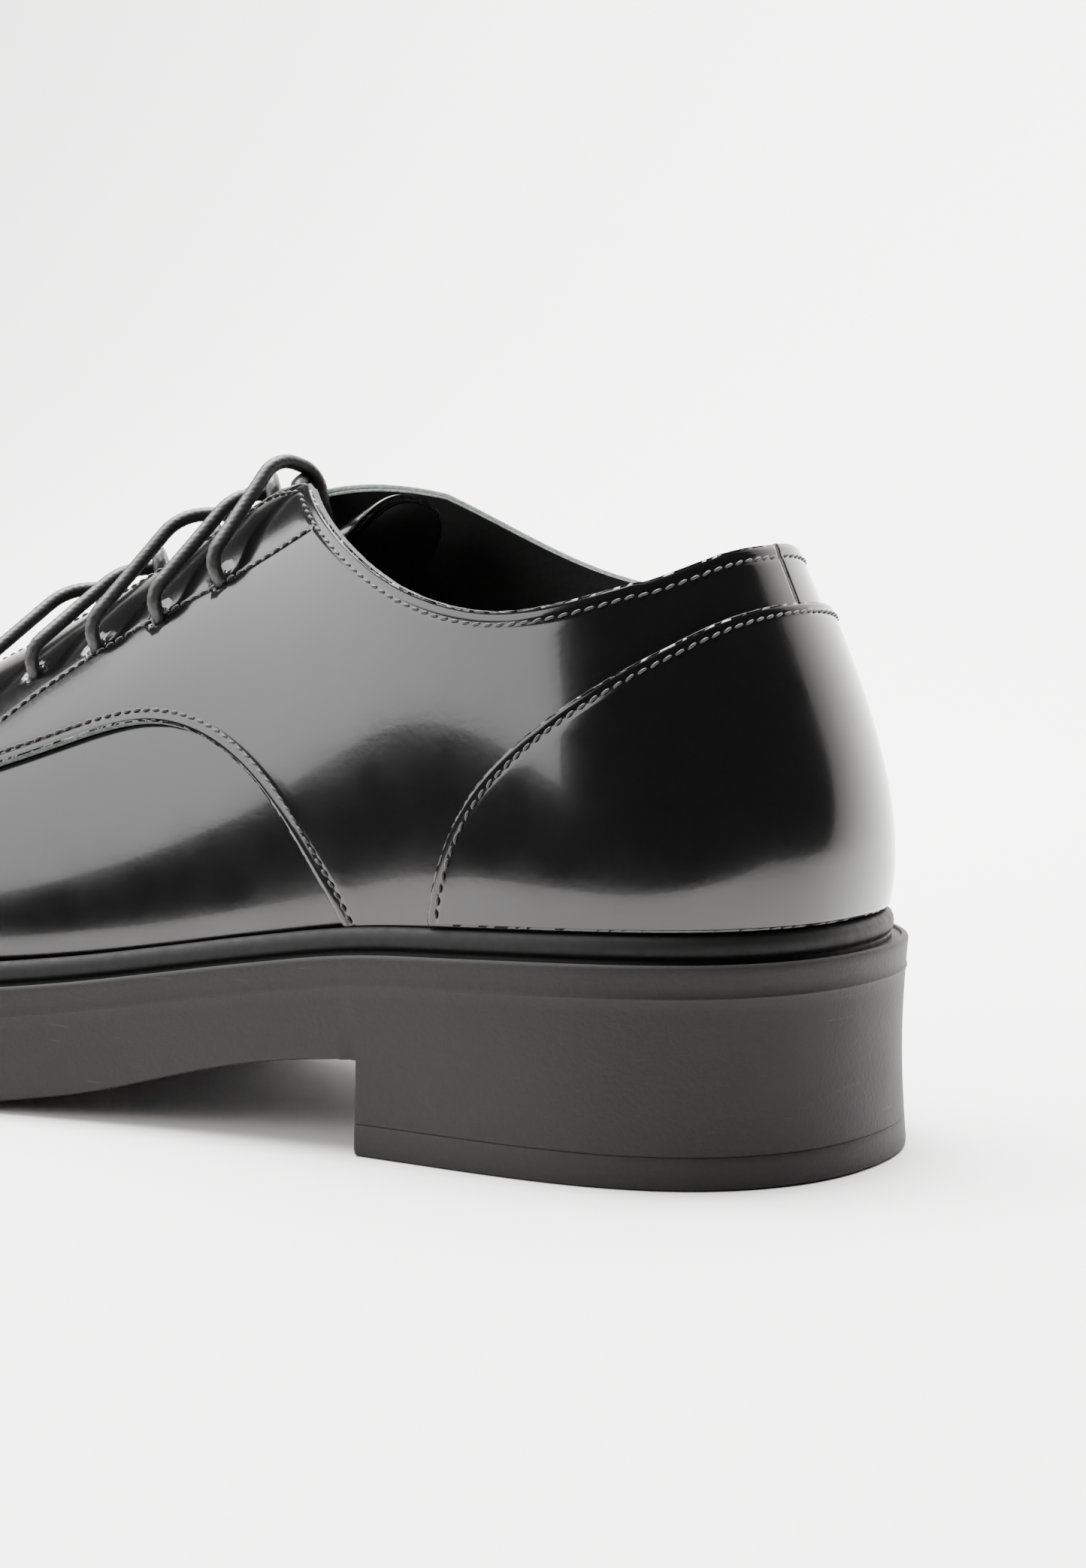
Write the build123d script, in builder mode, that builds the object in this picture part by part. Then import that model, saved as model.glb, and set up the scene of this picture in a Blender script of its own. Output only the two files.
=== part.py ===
from build123d import *
import math
import os

import numpy as np

# A left derby shoe, toe towards +X, outer side towards +Y, standing on Z = 0.
# Lengths along the shoe are measured from the back of the heel and moved to the middle by ORIGIN.

# ---------------------------------------------------------------- driving dimensions
ORIGIN = 141.2                 # middle of the sole, from the back of the heel
MIDDLE = 1.735                 # middle of the sole, outwards from the middle of the heel
SOLE_MARGIN = 4.2              # how far the sole edge stands outside the foot of the upper
RAND_HEIGHT = 4.3              # rounded rand between the sole edge and the upper
RAND_WIDTH = 2.2
HEEL_BREAST = 68.6             # front face of the heel
TOP_LIFT = 5.0                 # wear piece under the heel
WAIST_HEIGHT = 14.4            # underside of the waist where it meets the heel

LEATHER = 1.4
GAP = 0.1                      # glue line between layers
QUARTER_DEPTH = 0.0            # outer faces of the layers, measured inwards
STAY_DEPTH = 1.5
STAY_THICK = 0.9
STAY_INSET = 3.2               # the stay stops short of the facing's raw edge
STIFFENER_DEPTH = 1.5
STIFFENER_THICK = 1.2
VAMP_DEPTH = 1.6
PUFF_DEPTH = 3.15
PUFF_THICK = 0.6
QUARTER_LINING_DEPTH = 3.15
VAMP_LINING_DEPTH = 4.0
LINING_THICK = 0.7
PATCH_THICK = 1.2

FACING_GAP = 5.3               # each facing edge stands this far from the middle
EYELET_HOLE = 3.4
EYELET_BARREL = 4.3
EYELET_FLANGE = 6.6
LACE = 2.4
AGLET = 2.8

INSOLE_MARGIN = -6.0
INSOLE_TOE = 271.4             # the insole is cut square behind the toe layers
INSOLE_THICK = 2.0
SOCK_THICK = 1.1

# Height of the line where the upper meets the rand, along the shoe.
FEATHER = (
    (0, 36.5), (25, 36.2), (50, 35.3), (69, 34.2), (90, 31.2), (105, 28.7), (120, 26.3),
    (136, 24.3), (160, 22.3), (190, 21.6), (220, 22.6), (250, 25.6), (285, 31.5),
)

# The upper is one smooth surface over the last. Each row is a control line from the foot of the
# upper to its top: foot x and y (outer, inner side), wall handle x y z, roof handle x y z, top x y z.
ROWS = np.array((
    (2.8, 0.0, 0.0, -1.8, 0.0, 54.0, 9.8, 0.0, 76.0, 19.2, 0.0, 97.0),
    (4.8, 14.2, 14.2, 1.0, 15.2, 54.0, 12.0, 12.2, 76.0, 20.4, 10.3, 96.5),
    (14.0, 26.2, 26.2, 11.5, 28.6, 54.0, 19.4, 22.7, 75.0, 26.8, 19.2, 94.0),
    (29.2, 31.6, 31.0, 28.2, 34.2, 53.0, 33.6, 29.3, 73.0, 38.0, 25.8, 89.5),
    (47.0, 32.4, 31.0, 47.0, 35.0, 52.0, 49.5, 31.5, 72.0, 51.0, 28.0, 87.5),
    (66.0, 32.0, 29.5, 66.0, 34.0, 52.0, 68.0, 30.5, 76.0, 69.0, 24.0, 92.0),
    (84.0, 32.5, 27.5, 84.5, 34.5, 54.0, 86.5, 25.0, 85.0, 87.0, 14.5, 100.0),
    (102.0, 33.5, 26.5, 102.5, 35.5, 54.0, 104.0, 18.0, 93.0, 104.5, 4.0, 101.0),
    (122.0, 36.0, 27.5, 122.5, 38.0, 49.0, 123.5, 18.5, 86.5, 124.0, 1.5, 90.5),
    (145.0, 40.5, 31.5, 145.0, 43.0, 43.0, 145.5, 21.5, 77.5, 145.5, 0.4, 79.5),
    (168.0, 45.0, 36.5, 168.0, 47.5, 40.0, 168.0, 25.0, 69.0, 168.0, 0.0, 69.0),
    (190.0, 47.3, 42.0, 190.0, 49.5, 38.0, 190.0, 27.0, 61.0, 190.0, 0.0, 61.0),
    (210.0, 46.3, 44.0, 210.0, 48.0, 37.0, 210.0, 28.0, 56.0, 210.0, 0.0, 56.0),
    (230.0, 42.0, 42.0, 230.0, 43.0, 37.0, 230.0, 27.0, 53.0, 230.0, 0.0, 53.0),
    (248.0, 35.0, 36.0, 248.0, 35.5, 38.5, 247.5, 23.0, 50.5, 247.0, 0.0, 50.5),
    (263.0, 25.5, 27.5, 264.0, 26.0, 40.0, 261.0, 17.0, 48.0, 259.0, 0.0, 48.0),
    (275.0, 14.0, 15.5, 276.5, 14.5, 40.0, 271.0, 10.0, 45.0, 268.0, 0.0, 45.0),
    (281.0, 0.0, 0.0, 282.5, 0.0, 39.0, 276.0, 0.0, 43.5, 271.0, 0.0, 44.0),
))
LAST_ROW = len(ROWS) - 1
OUTER = 1
INNER = -1

# Side-view lines of the pattern, from the heel forwards.
TOPLINE = {
    OUTER: ((6, 93.0), (16, 91.0), (23, 87.0), (34, 83.3), (48, 81.0), (56, 81.8), (66, 84.4),
            (77, 89.2), (88, 95.4), (97.5, 101.5)),
    INNER: ((6, 93.0), (16, 91.2), (23, 88.0), (34, 85.0), (48, 83.2), (56, 84.2), (66, 87.4),
            (77, 93.2), (88, 99.8), (97.5, 104.5)),
}
QUARTER_SEAM = (
    (70.5, 27), (72.4, 33.0), (77.0, 40.5), (86.4, 51.5), (98.1, 59.3), (113.6, 62.6),
    (133.4, 58.0), (150.0, 52.8), (162.0, 51.0), (170.0, 55.0), (172.5, 62.0), (172.0, 72.0),
)
VAMP_EDGE = (
    (60.5, 27), (63.0, 36.0), (69.0, 46.0), (79.0, 57.0), (92.0, 65.5), (108.0, 69.5),
    (122.0, 67.0), (136.0, 61.5), (148.0, 57.5), (158.0, 56.5), (165.0, 60.0), (168.5, 68.0),
    (169.0, 80.0),
)
PATCH_EDGE = (
    (2.0, 84.0), (12.4, 82.0), (21.5, 76.2), (30.5, 70.2), (40.5, 62.6), (48.8, 53.8),
    (53.2, 45.5), (56.0, 36.0), (57.0, 27.0),
)
STIFFENER_EDGE = (
    (2.0, 76.0), (16.0, 73.0), (30.0, 66.0), (46.0, 54.0), (57.0, 40.0), (60.0, 27.0),
)
LINING_JOIN = (
    (92.0, 15), (94.0, 35.0), (99.0, 46.0), (110.0, 51.5), (125.0, 53.5), (150.0, 53.0),
    (168.0, 54.5), (177.0, 58.0), (180.0, 66.0), (180.0, 90.0),
)
STAY_EDGE = (
    (100.5, 85.0), (104.0, 80.0), (118.0, 72.5), (131.0, 67.0), (144.0, 62.5), (156.0, 58.8),
    (163.0, 58.8), (166.0, 64.0),
)
EYELET_ROWS = (9.50, 8.94, 8.37, 7.78, 7.18)
EYELET_RISE = (0.668, 0.664, 0.662, 0.668, 0.705)

# Tongue: centre line (x, y, z) from the throat up to its free edge, then its cross radius and
# half width there.
TONGUE = (
    (174.5, 0.2, 61.0, 26.5, 19.8), (168.0, 0.8, 62.0, 23.0, 19.5), (157.0, 1.4, 63.6, 16.0, 18.5),
    (145.0, 1.6, 67.6, 12.5, 17.5), (134.0, 1.6, 72.4, 11.2, 17.0), (124.0, 1.6, 76.9, 10.6, 17.0),
    (114.0, 1.5, 81.4, 10.2, 17.0), (105.0, 1.3, 85.7, 10.2, 17.0), (95.0, 1.0, 92.0, 12.4, 18.0),
    (83.0, 0.5, 98.6, 19.0, 16.8),
)
TONGUE_THICK = 1.2
TONGUE_LINING_THICK = 0.6
TONGUE_GAP = 0.25

# Lace: how deep it runs under the facings and how high it arches over them.
LACE_DEPTH = 6.9
LACE_UNDER = 6.3
LACE_RISE = 3.8
LACE_ARCH = (5.6, 3.0)
LACE_DIVE = 3.0
EYELET_TURN = 2.3
TAIL_DEPTH = 5.6               # loose ends lie flat against the lining

# ---------------------------------------------------------------- the surface of the upper
def feather_height(x):
    """Height of the foot of the upper at a distance from the heel."""
    xs = [p[0] for p in FEATHER]
    zs = [p[1] for p in FEATHER]
    slopes = np.gradient(zs, xs)
    x = min(max(x, xs[0]), xs[-1])
    k = min(max(int(np.searchsorted(xs, x)) - 1, 0), len(xs) - 2)
    h = xs[k + 1] - xs[k]
    t = (x - xs[k]) / h
    return ((2 * t**3 - 3 * t**2 + 1) * zs[k] + (t**3 - 2 * t**2 + t) * h * slopes[k]
            + (3 * t**2 - 2 * t**3) * zs[k + 1] + (t**3 - t**2) * h * slopes[k + 1])


def control_lines(side):
    """Control points (row, 4, xyz) of one side, with a mirrored row past the heel and the toe."""
    lines = []
    for fx, outer, inner, wx, wy, wz, rx, ry, rz, tx, ty, tz in ROWS:
        ratio = 1.0 if side == OUTER or outer == 0 else inner / outer
        lines.append(((fx, outer * ratio, feather_height(fx)), (wx, wy * ratio, wz),
                      (rx, ry * (1 + ratio) / 2, rz), (tx, ty, tz)))
    lines = np.array(lines)
    lines[:, :, 1] *= side
    mirrored = np.array((1.0, -1.0, 1.0))
    return np.concatenate(([lines[1] * mirrored], lines, [lines[-2] * mirrored]))


LINES = {OUTER: control_lines(OUTER), INNER: control_lines(INNER)}


def on_last(side, row, rise):
    """Point of the upper's outer face: row runs heel to toe, rise runs foot to top."""
    k = min(max(int(math.floor(row)), 0), LAST_ROW - 1)
    f = row - k
    blend = ((1 - f)**3 / 6, (3 * f**3 - 6 * f**2 + 4) / 6, (-3 * f**3 + 3 * f**2 + 3 * f + 1) / 6,
             f**3 / 6)
    line = sum(b * LINES[side][k + j] for j, b in enumerate(blend))
    if rise < 0:
        return line[0] + 3 * rise * (line[1] - line[0])
    t = rise
    return ((1 - t)**3 * line[0] + 3 * t * (1 - t)**2 * line[1] + 3 * t * t * (1 - t) * line[2]
            + t**3 * line[3])


def outward(side, row, rise):
    """Unit normal of the upper, pointing away from the foot."""
    e = 0.002
    row = min(max(row, e), LAST_ROW - e)
    rise = min(max(rise, e), 1 - e)
    along = on_last(side, row + e, rise) - on_last(side, row - e, rise)
    up = on_last(side, row, rise + e) - on_last(side, row, rise - e)
    normal = -side * np.cross(along, up)
    return normal / np.linalg.norm(normal)


def upper_point(side, row, rise, depth):
    point = on_last(side, row, rise) - depth * outward(side, row, rise)
    return Vector(point[0] - ORIGIN, point[1], point[2])


def skin(sides_rows, depth, top=1.0, foot=-0.09, steps=12):
    """Face at a depth under the outer face, through the given (side, row) stations."""
    rises = [foot + (top - foot) * i / steps for i in range(steps + 1)]
    grid = [[upper_point(side, row, rise, depth) for rise in rises] for side, row in sides_rows]
    return Face.make_surface_from_array_of_points(grid, tol=0.002)


def stations(side, first, last, count):
    return [(side, first + (last - first) * i / (count - 1)) for i in range(count)]


def heel_stations(reach, count):
    """Stations round the back of the heel, from the outer side to the inner side."""
    outer = stations(OUTER, reach, 0, count)
    inner = stations(INNER, 0, reach, count)
    return outer + inner[1:]


def foot_outline(margin):
    """Closed plan outline around the foot of the upper, moved out by a margin."""
    points = []
    for side, rows in ((OUTER, range(LAST_ROW + 1)), (INNER, range(LAST_ROW - 1, 0, -1))):
        for row in rows:
            e = 0.01
            here = on_last(side, row, 0)
            along = on_last(side, min(row + e, LAST_ROW), 0) - on_last(side, max(row - e, 0), 0)
            across = np.array((-side * along[1], side * along[0]))
            if row in (0, LAST_ROW):
                across = np.array((-1.0 if row == 0 else 1.0, 0.0))
            across = across / np.linalg.norm(across)
            if row not in (0, LAST_ROW) and across[1] * side < 0:
                across = -across
            points.append((here[0] + margin * across[0] - ORIGIN, here[1] + margin * across[1]))
    return points


def section(x, depth):
    """Half sections (outer, inner) of the upper at a depth, cut across the shoe at x."""
    halves = []
    for side in (OUTER, INNER):
        half = []
        for i in range(15):
            rise = -0.09 + 1.09 * i / 14
            low, high = 0.0, float(LAST_ROW)
            if upper_point(side, high, rise, depth).X + ORIGIN < x:
                break
            for _ in range(30):
                middle = (low + high) / 2
                if upper_point(side, middle, rise, depth).X + ORIGIN < x:
                    low = middle
                else:
                    high = middle
            point = upper_point(side, high, rise, depth)
            half.append((point.Y, point.Z))
        halves.append(half)
    return halves


def side_points(points):
    return [(x - ORIGIN, z) for x, z in points]


# ---------------------------------------------------------------- helpers for the solids
FAR = 75.0                     # half width and length margin of the cutting blocks
TOP = 125.0
FLOOR = -5.0
BACK = -20.0
FRONT = 305.0
HOLE_REACH = 5.0


def side_sketch(curve, corners):
    """Side-view region between a smooth line and straight corners."""
    with BuildSketch(Plane.XZ) as region:
        with BuildLine():
            edge = Spline(*side_points(curve))
            Polyline(edge @ 1, *side_points(corners), edge @ 0)
        make_face()
    return region.sketch


def seat_points(shift):
    return [(x, z + shift) for x, z in ((BACK, FEATHER[0][1]),) + FEATHER[1:-1] + ((FRONT, 35.0),)]


def band_sketch(low, high):
    """Side-view band between two lines parallel to the foot of the upper."""
    with BuildSketch(Plane.XZ) as region:
        with BuildLine():
            under = Spline(*side_points(seat_points(low)))
            over = Spline(*side_points(seat_points(high)))
            Line(under @ 0, over @ 0)
            Line(under @ 1, over @ 1)
        make_face()
    return region.sketch


def plan_sketch(margin):
    with BuildSketch(Plane.XY) as region:
        with BuildLine():
            Spline(*foot_outline(margin), periodic=True)
        make_face()
    return region.sketch


def last_block(depth, first, last, drop):
    """Closed block with the shape of the upper at a depth, from one section to another.

    Its sides run straight down by drop below the foot of the upper."""
    stops = [first, 74, 90, 104, 118, 134, 152, 172, 192, 212, 230, 245, 257, 266, 272, last]
    with BuildPart() as block:
        for x in stops:
            outer, inner = section(x, depth)
            across = math.dist(outer[-1], inner[-1])
            points = outer + inner[::-1]
            if across < 1.5:
                points = outer[:-1] + [((outer[-1][0] + inner[-1][0]) / 2, outer[-1][1])]
                points += inner[-2::-1]
            with BuildSketch(Plane.YZ.offset(x - ORIGIN)):
                with BuildLine():
                    over = Spline(*points)
                    Polyline(over @ 1, (inner[0][0], inner[0][1] - drop),
                             (outer[0][0], outer[0][1] - drop), over @ 0)
                make_face()
        loft()
    return block.part


def eyelet_plane(side, k, depth=0.0):
    origin = upper_point(side, EYELET_ROWS[k], EYELET_RISE[k], depth)
    return Plane(origin, z_dir=Vector(*outward(side, EYELET_ROWS[k], EYELET_RISE[k])))


def eyelet_planes(side, depth=0.0):
    return [eyelet_plane(side, k, depth) for k in range(len(EYELET_ROWS))]


FOOT_BLOCK = band_sketch(-60, -RAND_HEIGHT + GAP)
OUTER_TOP = side_sketch(TOPLINE[OUTER], ((97.5, TOP), (BACK, TOP), (BACK, 93)))
INNER_TOP = side_sketch(TOPLINE[INNER], ((97.5, TOP), (BACK, TOP), (BACK, 93)))
TOPS = {OUTER: OUTER_TOP, INNER: INNER_TOP}
BELOW_SEAM = side_sketch(QUARTER_SEAM, ((172, TOP), (FRONT, TOP), (FRONT, FLOOR), (70.5, FLOOR)))
VAMP_REGION = side_sketch(VAMP_EDGE, ((169, TOP), (FRONT, TOP), (FRONT, FLOOR), (60.5, FLOOR)))
LINING_FRONT = side_sketch(LINING_JOIN, ((180, TOP), (FRONT, TOP), (FRONT, FLOOR), (92, FLOOR)))
STAY_REGION = side_sketch(STAY_EDGE, ((166, TOP), (100.5, TOP)))
PATCH_REGION = side_sketch(PATCH_EDGE, ((57, FLOOR), (BACK, FLOOR), (BACK, 84)))
STIFFENER_REGION = side_sketch(STIFFENER_EDGE, ((60, FLOOR), (BACK, FLOOR), (BACK, 76)))


def slot_sketch(half_width):
    """Plan view of the open strip between the two facings."""
    with BuildSketch(Plane.XY) as strip:
        with Locations((135 - ORIGIN, 0)):
            Rectangle(84, 2 * half_width)
    return strip.sketch


FACING_SLOT = slot_sketch(FACING_GAP)
STAY_SLOT = slot_sketch(FACING_GAP + STAY_INSET)


def insole_plan():
    """Plan of the insole, filler and sock liner."""
    with BuildSketch(Plane.XY) as region:
        add(plan_sketch(INSOLE_MARGIN))
        with Locations((INSOLE_TOE - ORIGIN, 0)):
            Rectangle(40, 2 * FAR, align=(Align.MIN, Align.CENTER), mode=Mode.SUBTRACT)
    return region.sketch


# ---------------------------------------------------------------- bottom of the shoe
with BuildPart() as outsole:
    extrude(plan_sketch(SOLE_MARGIN), amount=60)
    with BuildSketch(Plane.XZ):
        with BuildLine():
            seat = Spline(*side_points(seat_points(-RAND_HEIGHT)))
            waist = Spline(*side_points(((HEEL_BREAST, WAIST_HEIGHT), (82, 12.9), (98, 9.6), (115, 5.2),
                                         (132, 2.2), (150, 0.0))), tangents=((1, -0.06), (1, -0.1)))
            toe_spring = Spline(*side_points(((218, 0.0), (252, 3.0), (FRONT, 13.0))))
            Line(waist @ 1, toe_spring @ 0)
            Line(toe_spring @ 1, seat @ 1)
            Polyline(seat @ 0, *side_points(((BACK, TOP_LIFT), (HEEL_BREAST, TOP_LIFT))), waist @ 0)
        make_face()
    extrude(amount=FAR, both=True, mode=Mode.INTERSECT)
outsole.part.label = "outsole"

with BuildPart() as heel_top_lift:
    extrude(plan_sketch(SOLE_MARGIN), amount=TOP_LIFT)
    with BuildSketch(Plane.XY):
        with Locations((HEEL_BREAST - ORIGIN, 0)):
            Rectangle(FRONT, 2 * FAR, align=(Align.MIN, Align.CENTER))
    extrude(amount=TOP_LIFT, mode=Mode.SUBTRACT)
heel_top_lift.part.label = "heel_top_lift"

with BuildPart() as rand:
    extrude(plan_sketch(RAND_WIDTH), amount=60)
    extrude(plan_sketch(GAP), amount=60, mode=Mode.SUBTRACT)
    extrude(band_sketch(-RAND_HEIGHT, -0.3), amount=FAR, both=True, mode=Mode.INTERSECT)
rand.part.label = "rand"

SHANK_LENGTH = 92.0
SHANK_WIDTH = 13.0
SHANK_START = 42.0
FILLER_TOP = -2.35
with BuildSketch(Plane.XY) as shank_plan:
    with Locations((SHANK_START + SHANK_LENGTH / 2 - ORIGIN, 1.5)):
        SlotOverall(SHANK_LENGTH, SHANK_WIDTH)

with BuildPart() as bottom_filler:
    extrude(insole_plan(), amount=60)
    extrude(band_sketch(-RAND_HEIGHT, FILLER_TOP), amount=FAR, both=True, mode=Mode.INTERSECT)
    extrude(offset(shank_plan.sketch, GAP, mode=Mode.PRIVATE), amount=60, mode=Mode.SUBTRACT)
bottom_filler.part.label = "bottom_filler"

with BuildPart() as shank:
    extrude(shank_plan.sketch, amount=60)
    extrude(band_sketch(-RAND_HEIGHT, FILLER_TOP), amount=FAR, both=True, mode=Mode.INTERSECT)
shank.part.label = "shank"

INSOLE_TOP = FILLER_TOP + INSOLE_THICK
with BuildSketch(Plane.XY) as pad_plan:
    with Locations((34 - ORIGIN, 0)):
        SlotOverall(44, 38)

with BuildPart() as insole_board:
    extrude(insole_plan(), amount=60)
    extrude(band_sketch(FILLER_TOP, INSOLE_TOP), amount=FAR, both=True, mode=Mode.INTERSECT)
    extrude(offset(pad_plan.sketch, GAP, mode=Mode.PRIVATE), amount=60, mode=Mode.SUBTRACT)
insole_board.part.label = "insole_board"

with BuildPart() as heel_pad:
    extrude(pad_plan.sketch, amount=60)
    extrude(band_sketch(FILLER_TOP, INSOLE_TOP), amount=FAR, both=True, mode=Mode.INTERSECT)
heel_pad.part.label = "heel_pad"

with BuildPart() as sock_liner:
    extrude(insole_plan(), amount=60)
    extrude(band_sketch(INSOLE_TOP, INSOLE_TOP + SOCK_THICK), amount=FAR, both=True,
            mode=Mode.INTERSECT)
sock_liner.part.label = "sock_liner"


# ---------------------------------------------------------------- upper, front
def front_layer(depth, thickness):
    """Shell over the forefoot between two depths."""
    block = last_block(depth, 56, 277.5 - depth, 1.5)
    block -= last_block(depth + thickness, 54, 277.5 - depth - thickness, 6.0)
    return block


with BuildPart() as vamp:
    add(front_layer(VAMP_DEPTH, LEATHER))
    extrude(VAMP_REGION, amount=FAR, both=True, mode=Mode.INTERSECT)
    extrude(FOOT_BLOCK, amount=FAR, both=True, mode=Mode.SUBTRACT)
vamp.part.label = "vamp"

with BuildPart() as vamp_lining:
    add(front_layer(VAMP_LINING_DEPTH, LINING_THICK))
    extrude(LINING_FRONT, amount=FAR, both=True, mode=Mode.INTERSECT)
    extrude(FOOT_BLOCK, amount=FAR, both=True, mode=Mode.SUBTRACT)
vamp_lining.part.label = "vamp_lining"

with BuildPart() as toe_puff:
    add(front_layer(PUFF_DEPTH, PUFF_THICK))
    with BuildSketch(Plane.XZ):
        with BuildLine():
            Polyline(*side_points(((232, FLOOR), (226, TOP), (FRONT, TOP), (FRONT, FLOOR))), close=True)
        make_face()
    extrude(amount=FAR, both=True, mode=Mode.INTERSECT)
    extrude(FOOT_BLOCK, amount=FAR, both=True, mode=Mode.SUBTRACT)
toe_puff.part.label = "toe_puff"


# ---------------------------------------------------------------- upper, back
SEAM_ROW = 0.012               # leaves a hair between the two quarters at the back seam
TAB_ROW = 10.6


def back_piece(name, side, depth, thickness, regions, cuts, slot, hole):
    """One half of a layer of the back of the upper, with its eyelet holes."""
    with BuildPart() as piece:
        thicken(skin(stations(side, SEAM_ROW, TAB_ROW, 44), depth + thickness), amount=-side * thickness)
        for region in regions:
            extrude(region, amount=FAR, both=True, mode=Mode.INTERSECT)
        for cut in cuts:
            extrude(cut, amount=FAR, both=True, mode=Mode.SUBTRACT)
        extrude(slot, amount=TOP, mode=Mode.SUBTRACT)
        for plane in eyelet_planes(side):
            with BuildSketch(plane):
                Circle(hole / 2)
        extrude(amount=HOLE_REACH, both=True, mode=Mode.SUBTRACT)
    piece.part.label = name
    return piece.part


backs = []
for side, word in ((OUTER, "outer"), (INNER, "inner")):
    backs.append(back_piece(f"quarter_{word}", side, QUARTER_DEPTH, LEATHER, (),
                            (TOPS[side], BELOW_SEAM, FOOT_BLOCK), FACING_SLOT, EYELET_HOLE))
    backs.append(back_piece(f"quarter_lining_{word}", side, QUARTER_LINING_DEPTH, LINING_THICK, (),
                            (TOPS[side], LINING_FRONT, FOOT_BLOCK), FACING_SLOT,
                            EYELET_BARREL + 2 * GAP))
    backs.append(back_piece(f"eyelet_stay_{word}", side, STAY_DEPTH, STAY_THICK, (STAY_REGION,),
                            (), STAY_SLOT, EYELET_BARREL + 2 * GAP))

with BuildPart() as counter_patch:
    thicken(skin(heel_stations(5.2, 22), -GAP), amount=PATCH_THICK)
    extrude(PATCH_REGION, amount=FAR, both=True, mode=Mode.INTERSECT)
    extrude(band_sketch(-60, 0.1), amount=FAR, both=True, mode=Mode.SUBTRACT)
counter_patch.part.label = "counter_patch"

with BuildPart() as heel_stiffener:
    thicken(skin(heel_stations(5.4, 22), STIFFENER_DEPTH + STIFFENER_THICK), amount=STIFFENER_THICK)
    extrude(STIFFENER_REGION, amount=FAR, both=True, mode=Mode.INTERSECT)
    extrude(FOOT_BLOCK, amount=FAR, both=True, mode=Mode.SUBTRACT)
heel_stiffener.part.label = "heel_stiffener"


# ---------------------------------------------------------------- eyelets, tongue, lace
EYELET_BACK = 1.6              # outer end of the barrel, under the quarter
EYELET_FRONT = 4.1             # where the flange starts, inside the lining
FLANGE_THICK = 0.4


def eyelet_set(name, side):
    """Five blind eyelets of one facing: a barrel through stay and lining, and an inner flange."""
    with BuildPart() as rings:
        for plane in eyelet_planes(side, EYELET_FRONT):
            with BuildSketch(plane):
                Circle(EYELET_BARREL / 2)
                Circle(EYELET_HOLE / 2, mode=Mode.SUBTRACT)
            extrude(amount=EYELET_FRONT - EYELET_BACK)
            with BuildSketch(plane):
                Circle(EYELET_FLANGE / 2)
                Circle(EYELET_HOLE / 2, mode=Mode.SUBTRACT)
            extrude(amount=-FLANGE_THICK)
    rings.part.label = name
    return rings.part


def tongue_face(depth):
    """Arched sheet along the tongue's centre line, at a depth under its outer face."""
    grid = []
    for x, y, z, radius, half in TONGUE:
        arc = []
        for i in range(13):
            angle = half * (i / 6 - 1) / radius
            reach = radius - depth
            height = z - radius + reach * math.cos(angle)
            arc.append(Vector(x - ORIGIN, y + reach * math.sin(angle), height))
        grid.append(arc)
    return Face.make_surface_from_array_of_points(grid, tol=0.002)


with BuildPart() as tongue:
    thicken(tongue_face(TONGUE_THICK), amount=-TONGUE_THICK)
tongue.part.label = "tongue"

with BuildPart() as tongue_lining:
    thicken(tongue_face(TONGUE_THICK + TONGUE_GAP + TONGUE_LINING_THICK), amount=-TONGUE_LINING_THICK)
tongue_lining.part.label = "tongue_lining"


def ridge(x):
    """Height of the middle of the instep."""
    low, high = 6.0, float(LAST_ROW)
    for _ in range(30):
        middle = (low + high) / 2
        if on_last(OUTER, middle, 1.0)[0] < x:
            low = middle
        else:
            high = middle
    return on_last(OUTER, high, 1.0)[2]


def under_facing(side, row, rise, depth=LACE_UNDER):
    point = upper_point(side, row, rise, depth)
    return (point.X + ORIGIN, point.Y, point.Z)


def crossing(side, k):
    """Lace from eyelet k of one facing, over the gap, under the other facing."""
    row, rise = EYELET_ROWS[k], EYELET_RISE[k]
    start = under_facing(side, row, rise, LACE_DEPTH)
    over = under_facing(side, row, rise, -LACE_RISE)
    to_x = under_facing(-side, EYELET_ROWS[k + 1], EYELET_RISE[k + 1])[0] if k < 4 else over[0] - 7.0
    arch = LACE_ARCH[0 if (k % 2 == 0) == (side == OUTER) else 1]
    apex_x = (over[0] + to_x) / 2 + 1.0
    apex = (apex_x, side * 4.5, ridge(apex_x) + arch)
    lip = (to_x + 2.0, -side * LACE_DIVE, ridge(to_x + 2.0) + arch - 3.0)
    dive = (to_x + 0.6, -side * LACE_DIVE, ridge(to_x) - 4.8)
    return [start, over, apex, lip, dive]


def half_lace(side):
    """Route of one end of the lace from the lowest eyelet to its tip under the top facing."""
    route = []
    for k in range(5):
        route += crossing(side, k)
        side = -side
        if k < 4:
            route.append(under_facing(side, EYELET_ROWS[k + 1] + 0.02, 0.86))
    route += [under_facing(side, 6.96, 0.86, TAIL_DEPTH), under_facing(side, 6.93, 0.70, TAIL_DEPTH),
              under_facing(side, 7.02, 0.56, TAIL_DEPTH), under_facing(side, 7.25, 0.47, TAIL_DEPTH)]
    return route, under_facing(side, 7.75, 0.43, TAIL_DEPTH)


halves = {side: half_lace(side) for side in (OUTER, INNER)}
bar = [under_facing(OUTER, EYELET_ROWS[0], 0.86), under_facing(INNER, EYELET_ROWS[0], 0.86)]
lace_route = halves[OUTER][0][::-1] + bar + halves[INNER][0]
lace_points = [Vector(x - ORIGIN, y, z) for x, y, z in lace_route]


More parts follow.
